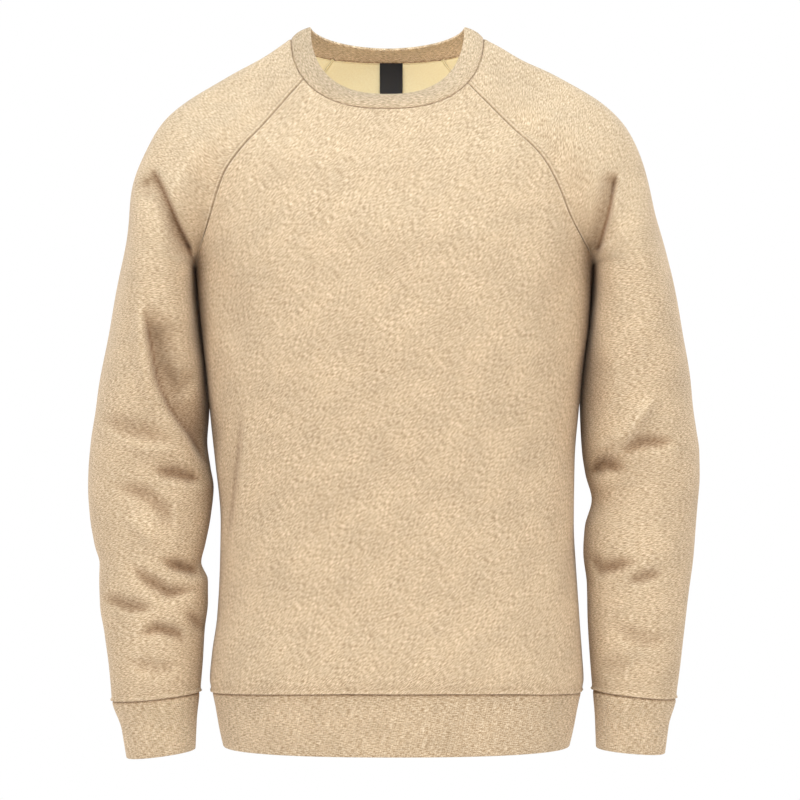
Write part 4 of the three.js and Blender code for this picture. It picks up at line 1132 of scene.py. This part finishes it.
def blend(tree, factor, first, second, mode="MIX"):
    """Two colours mixed."""
    node = add_node(tree, "ShaderNodeMix", data_type="RGBA", blend_type=mode)
    for key, value in ((0, factor), (6, first), (7, second)):
        if isinstance(value, bpy.types.NodeSocket):
            tree.links.new(value, node.inputs[key])
        else:
            node.inputs[key].default_value = value if key == 0 else (*value, 1.0)
    return node.outputs[2]


def calculate(tree, operation, first, second=0.0, third=0.0):
    """One step of arithmetic."""
    node = add_node(tree, "ShaderNodeMath", {0: first, 1: second, 2: third}, operation=operation)
    return node.outputs["Value"]


def finish(tree, shader, colour, bump=None, height=None):
    """Joins a colour to the shader, and a height as a bump."""
    if bump:
        node = add_node(tree, "ShaderNodeBump", {**BUMPS[bump], "Height": height})
        tree.links.new(node.outputs["Normal"], shader.inputs["Normal"])
    tree.links.new(colour, shader.inputs["Base Color"])


def heather_material(name, rib_pitch=0.0, tone=1.0):
    """Heather knit: slubs drawn out along the yarn, light and dark flecks, a fuzzy bump, and
    painted shade in rib furrows, creases and seams.
    """
    material, tree, shader = new_material(name, roughness=0.92, sheen=0.18)
    place = add_node(tree, "ShaderNodeUVMap", uv_map="Cloth").outputs["UV"]
    slub, fleck, pale, cloud, fuzz = (pattern(tree, place, row)
                                      for row in ("slub", "fleck", "pale", "cloud", "fuzz"))
    light, middle, dark = ([channel * tone for channel in colour]
                           for colour in (FLEECE_LIGHT, FLEECE_MIDDLE, FLEECE_DARK))
    colour = ramp(tree, slub, [(0.38, mix(np.array(dark), np.array(middle), 0.15)),
                               (0.5, middle), (0.61, light)])
    dark_part = ramp(tree, fleck, [(0.55, 0.0), (0.68, 0.75)])
    colour = blend(tree, dark_part, colour, dark)
    pale_part = ramp(tree, pale, [(0.56, 0.0), (0.70, 0.8)])
    colour = blend(tree, pale_part, colour, light)
    clouds = ramp(tree, cloud, [(0.32, 0.84), (0.66, 1.0)])
    colour = blend(tree, CLOUD_SHARE, colour, clouds, "MULTIPLY")
    height = calculate(tree, "MULTIPLY_ADD", fuzz, FUZZ_SHARE, slub)
    if rib_pitch:
        across = add_node(tree, "ShaderNodeSeparateXYZ", {"Vector": place}).outputs["X"]
        wave = calculate(tree, "SINE", calculate(tree, "MULTIPLY", across,
                                                 2 * math.pi / (rib_pitch * MM)))
        rib = calculate(tree, "MULTIPLY_ADD", wave, 0.5, 0.5)
        # Painted shade: the rib's furrows are darker, besides being sunk by the bump
        furrow_shade = ramp(tree, rib, [(0.0, 0.84), (0.6, 1.0)])
        colour = blend(tree, RIB_FURROW_SHADE, colour, furrow_shade, "MULTIPLY")
        height = calculate(tree, "MULTIPLY_ADD", rib, RIB_HEIGHT, height)
    # Painted shade from the Shade attribute: creases, lap feet, seams and pressed lines darkened
    # towards the crease shade colour
    shade = add_node(tree, "ShaderNodeAttribute", attribute_name="Shade").outputs["Fac"]
    colour = blend(tree, shade, colour, blend(tree, 1.0, colour, CREASE_SHADE_COLOUR, "MULTIPLY"))
    finish(tree, shader, colour, "heather", height)
    return material


def reverse_material():
    """Brushed reverse of the fleece: pale, with short loops and soft nap."""
    material, tree, shader = new_material("fleece_reverse", roughness=0.95, sheen=0.25)
    place = add_node(tree, "ShaderNodeUVMap", uv_map="Cloth").outputs["UV"]
    loops, nap = (pattern(tree, place, row) for row in ("loops", "nap"))
    colour = ramp(tree, loops, [(0.3, REVERSE_SHADE), (0.62, REVERSE)])
    height = calculate(tree, "ADD", loops, calculate(tree, "MULTIPLY", nap, 0.5))
    finish(tree, shader, colour, "reverse", height)
    return material


def thread_material():
    """Sewing thread: two plies that turn round each other."""
    material, tree, shader = new_material("sewing_thread", roughness=0.6, sheen=0.1)
    place = add_node(tree, "ShaderNodeTexCoord").outputs["Object"]
    ply = pattern(tree, place, "ply")
    colour = ramp(tree, ply, [(0.3, [channel * 0.8 for channel in THREAD]), (0.7, THREAD)])
    finish(tree, shader, colour)
    return material


def label_material():
    """Black satin: fine warp lines across a smooth dark ground."""
    material, tree, shader = new_material("label_satin", roughness=0.38)
    place = add_node(tree, "ShaderNodeUVMap", uv_map="Cloth").outputs["UV"]
    warp = pattern(tree, place, "warp")
    colour = ramp(tree, warp, [(0.3, LABEL_BLACK), (0.8, [c * 2.2 for c in LABEL_BLACK])])
    finish(tree, shader, colour, "label", warp)
    return material


def floor_material():
    """Pale matt floor with a faint mottle."""
    material, tree, shader = new_material("studio_floor", roughness=0.9)
    place = add_node(tree, "ShaderNodeTexCoord").outputs["Object"]
    mottle = pattern(tree, place, "mottle")
    colour = ramp(tree, mottle, [(0.3, [c * 0.98 for c in FLOOR]), (0.7, FLOOR)])
    finish(tree, shader, colour)
    return material


# Small sewn things

def seam_line(piece, normal, last_side, off):
    """Points and normals at a distance from a raglan edge, on the finished outer surface."""
    grid = piece["outer"][:YOKE_ROWS]
    normals = normal[:YOKE_ROWS]
    if last_side:
        grid, normals = grid[:, ::-1], normals[:, ::-1]
    walked = steps_along(grid, 1)
    column = np.clip((walked < off).sum(axis=1), 1, grid.shape[1] - 1)[:, None]
    before = np.take_along_axis(walked, column - 1, 1)
    after = np.take_along_axis(walked, column, 1)
    share = ((off - before) / np.maximum(after - before, 1e-6))[..., None]
    picked = []
    for values in (grid, normals):
        low = np.take_along_axis(values, (column - 1)[..., None], 1)
        high = np.take_along_axis(values, column[..., None], 1)
        picked.append(mix(low, high, share)[:, 0])
    return picked


def stitch_row(points, normals):
    """Short capsules end to end along a line: an ellipse section swept along each stitch."""
    walked = np.concatenate([[0], np.cumsum(np.linalg.norm(np.diff(points, axis=0), axis=1))])
    centres = np.arange(STITCH_PITCH, walked[-1] - STITCH_PITCH, STITCH_PITCH)

    def on_line(values, places):
        return np.stack([np.interp(places, walked, values[:, axis]) for axis in range(3)], -1)

    along = np.linspace(-0.5, 0.5, STITCH_RINGS)
    places = centres[:, None] + along[None] * STITCH_LENGTH
    middle = on_line(points, places)
    up = unit(on_line(normals, places))
    way = unit(np.gradient(middle, axis=1))
    across = unit(np.cross(way, up))
    angle = np.linspace(0, 2 * math.pi, STITCH_SIDES, endpoint=False)
    ring = (across[:, :, None] * np.cos(angle)[None, None, :, None]
            + up[:, :, None] * np.sin(angle)[None, None, :, None])
    rise = up[:, :, None] * STITCH_RADIUS * STITCH_RISE
    radius = STITCH_RADIUS * np.array(STITCH_GIRTH)
    vertices = middle[:, :, None] + rise + ring * radius[None, :, None, None]
    number = np.arange(STITCH_RINGS * STITCH_SIDES).reshape(STITCH_RINGS, STITCH_SIDES)
    turned = np.roll(number, -1, axis=1)
    sides = np.stack([number[:-1], turned[:-1], turned[1:], number[1:]], -1).reshape(-1, 4)
    first_caps = number[0][[[3, 2, 1, 0], [5, 4, 3, 0]]]
    last_caps = number[-1][[[0, 1, 2, 3], [0, 3, 4, 5]]]
    faces = np.concatenate([sides, first_caps, last_caps])
    count = STITCH_RINGS * STITCH_SIDES
    all_faces = (faces[None] + (np.arange(len(centres)) * count)[:, None, None]).reshape(-1, 4)
    return vertices.reshape(-1, 3), all_faces


def raglan_stitches(name, pieces, normals, material, rows):
    """Coverstitch beside raglan edges, joined into one mesh that rides on the seams."""
    all_points, all_faces, start = [], [], 0
    for piece_name, last_side in rows:
        points, line_normals = seam_line(pieces[piece_name], normals[piece_name], last_side,
                                         STITCH_OFF)
        vertices, faces = stitch_row(points, line_normals)
        all_points.append(vertices)
        all_faces.append(faces + start)
        start += len(vertices)
    made = make_mesh(name, np.concatenate(all_points), np.concatenate(all_faces),
                     materials=(material,))
    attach(made, "root")
    return made


def make_label(material):
    """Label inside the back: the panel's own points moved in, its foot hanging a little free."""
    at = np.linspace(LABEL["top_at"], LABEL["bottom_at"], LABEL["rows"] + 1)
    share = np.linspace(-LABEL["reach"], LABEL["reach"], LABEL["columns"] + 1)
    panel = yoke_grid("back", at, share)
    x = np.linspace(LABEL["x"] - LABEL["half_width"], LABEL["x"] + LABEL["half_width"],
                    LABEL["columns"] + 1)
    down_way = np.gradient(panel, axis=0)
    across_way = np.gradient(panel, axis=1)
    outward = unit(np.cross(across_way, down_way))
    down = ((at - at[0]) / (at[-1] - at[0]))[:, None]
    clear = FLEECE_WALL + SEAM_RIDGE_INSIDE + LABEL["clear"] + LABEL["hang"] * down ** 2
    clear = clear + LABEL["wave"] * np.sin(x / LABEL["wave_length"])[None] * down
    back_face = panel - outward * clear[..., None]
    back_face[..., 0] = x[None]
    front_face = back_face - outward * LABEL_WALL
    piece = dict(grid=front_face, closes_at=None, flip=True)
    faces, surface = wall_faces(front_face.shape[:2], None, True)
    uv = np.tile(cloth_map("neck_label", piece, 0), (2, 1))[faces.ravel()]
    points = np.concatenate([front_face.reshape(-1, 3), back_face.reshape(-1, 3)])
    made = make_mesh("neck_label_satin", points, faces, np.zeros_like(surface), uv, (material,))
    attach(made, "root")
    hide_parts("neck_label")
    return made


# Camera, floor and light

CAMERA_DISTANCE = 3.0
FRAME_WIDTH = 0.788
CAMERA_X = 0.0069
CAMERA_Z = -0.3556
SENSOR = 36.0
FLOOR_Z = -1.5
FLOOR_SIZE = 3.2
WORLD_FILL = 0.62
WHITE = (1, 1, 1)
MIDDLE = (0, 0, -0.35)
LAMPS = [
    dict(name="key", place=(-2.1, -2.0, 0.2), aim=MIDDLE, size=1.6, power=35, tint=WHITE),
    dict(name="fill", place=(2.1, -2.0, -0.2), aim=MIDDLE, size=1.6, power=31, tint=WHITE),
    dict(name="back_key", place=(1.6, 2.4, 0.4), aim=MIDDLE, size=1.8, power=34, tint=WHITE),
    dict(name="back_fill", place=(-1.9, 2.1, -0.3), aim=MIDDLE, size=1.8, power=28, tint=WHITE),
    dict(name="top", place=(0, -1.0, 1.7), aim=(0, 0.05, -0.03), size=1.2, power=44,
         tint=(0.72, 0.88, 1.0)),
    dict(name="neck", place=(-0.005, -0.03, -0.15), aim=(-0.005, 0.075, -0.02), size=0.06,
         power=0.10, tint=WHITE),
]


def add_camera():
    """Level camera straight in front, with the photograph's frame."""
    data = bpy.data.cameras.new("camera")
    data.sensor_width = SENSOR
    data.lens = SENSOR * CAMERA_DISTANCE / FRAME_WIDTH
    data.clip_end = 50
    camera = bpy.data.objects.new("camera", data)
    camera.location = (CAMERA_X, -CAMERA_DISTANCE, CAMERA_Z)
    camera.rotation_euler = (math.pi / 2, 0, 0)
    bpy.context.scene.collection.objects.link(camera)
    bpy.context.scene.camera = camera


def add_light(name, place, aim, size, power, tint):
    """Soft square lamp at a place, turned to a point."""
    data = bpy.data.lights.new(name, "AREA")
    data.shape = "SQUARE"
    data.size = size
    data.energy = power
    data.color = tint
    lamp = bpy.data.objects.new(name, data)
    lamp.visible_camera = False
    lamp.location = place
    way = np.array(aim) - np.array(place)
    flat = math.hypot(way[0], way[1])
    lamp.rotation_euler = (math.atan2(flat, -way[2]), 0, math.atan2(way[1], way[0]) - math.pi / 2)
    bpy.context.scene.collection.objects.link(lamp)


def add_surroundings():
    """White studio: even light from the world, soft lamps, and a pale floor far below."""
    scene = bpy.context.scene
    scene.view_settings.view_transform = "Standard"
    world = bpy.data.worlds.new("studio")
    world.use_nodes = True
    tree = world.node_tree
    seen = tree.nodes["Background"]
    seen.inputs["Color"].default_value = (1, 1, 1, 1)
    seen.inputs["Strength"].default_value = 1.0
    fill = add_node(tree, "ShaderNodeBackground", {"Color": (1, 1, 1, 1), "Strength": WORLD_FILL})
    path = add_node(tree, "ShaderNodeLightPath")
    choice = add_node(tree, "ShaderNodeMixShader", {0: path.outputs["Is Camera Ray"]})
    tree.links.new(fill.outputs[0], choice.inputs[1])
    tree.links.new(seen.outputs[0], choice.inputs[2])
    tree.links.new(choice.outputs[0], tree.nodes["World Output"].inputs["Surface"])
    scene.world = world
    for lamp in LAMPS:
        add_light(**lamp)
    half = FLOOR_SIZE / 2 / MM
    corners = np.array([(-half, -half, 0), (half, -half, 0), (half, half, 0), (-half, half, 0)])
    corners[:, 2] = FLOOR_Z / MM
    floor = make_mesh("studio_floor", corners, np.array([[0, 1, 2, 3]]),
                      materials=(floor_material(),))


# Knit direction of each piece, in degrees, and its cut: width, length and flat area
PIECE_FACTS = {
    "front": dict(turn=-38, slot="fleece", flat=(0.50, 0.60), area=0.26,
                  rests_on=["collar_rib"]),
    "back": dict(turn=-38, slot="fleece", flat=(0.48, 0.65), area=0.26,
                 rests_on=["collar_rib"]),
    "sleeve_right": dict(turn=12, slot="fleece", flat=(0.46, 0.74), area=0.238,
                         rests_on=["collar_rib"]),
    "sleeve_left": dict(turn=-12, slot="fleece", flat=(0.46, 0.74), area=0.238,
                        rests_on=["collar_rib"]),
    "cuff_right": dict(turn=0, slot="rib_knit", flat=(0.235, 0.057),
                       rests_on=["sleeve_right"]),
    "cuff_left": dict(turn=0, slot="rib_knit", flat=(0.232, 0.0565),
                      rests_on=["sleeve_left"]),
    "hem_band": dict(turn=0, slot="rib_knit", flat=(0.95, 0.0575),
                     rests_on=["front", "back"]),
    "collar_rib": dict(turn=0, slot="rib_knit", flat=(0.535, 0.0243),
                       rests_on=["front", "back"]),
}


def build():
    """Everything in order: camera, surroundings, cloth, stitches, label."""
    add_camera()
    add_surroundings()
    heather = heather_material("heather_fleece")
    rib = heather_material("heather_rib", RIB_PITCH, RIB_TONE)
    # Brighter copy of the rib, painted light for the bands' shaded inner side
    rib_inside = heather_material("heather_rib_inside_painted_light", RIB_PITCH, RIB_INSIDE_PAINTED_LIGHT)
    reverse = reverse_material()
    thread = thread_material()
    pieces = base_grids()
    weld, underarm = shape_pieces(pieces)
    own, normals = shared_normals(pieces, weld, underarm)
    for name, piece in pieces.items():
        facts = PIECE_FACTS[name]
        is_rib = facts["slot"] == "rib_knit"
        materials = (rib, rib_inside, rib) if is_rib else (heather, reverse, heather)
        made = cloth_piece(name, piece, own[name], normals[name], facts["turn"], materials)
    for part, sleeve_end in (("front", False), ("back", True)):
        rows = [(part, False), (part, True), ("sleeve_right", sleeve_end),
                ("sleeve_left", sleeve_end)]
        raglan_stitches("raglan_stitches_" + part, pieces, normals, thread, rows)
    make_label(label_material())


build()
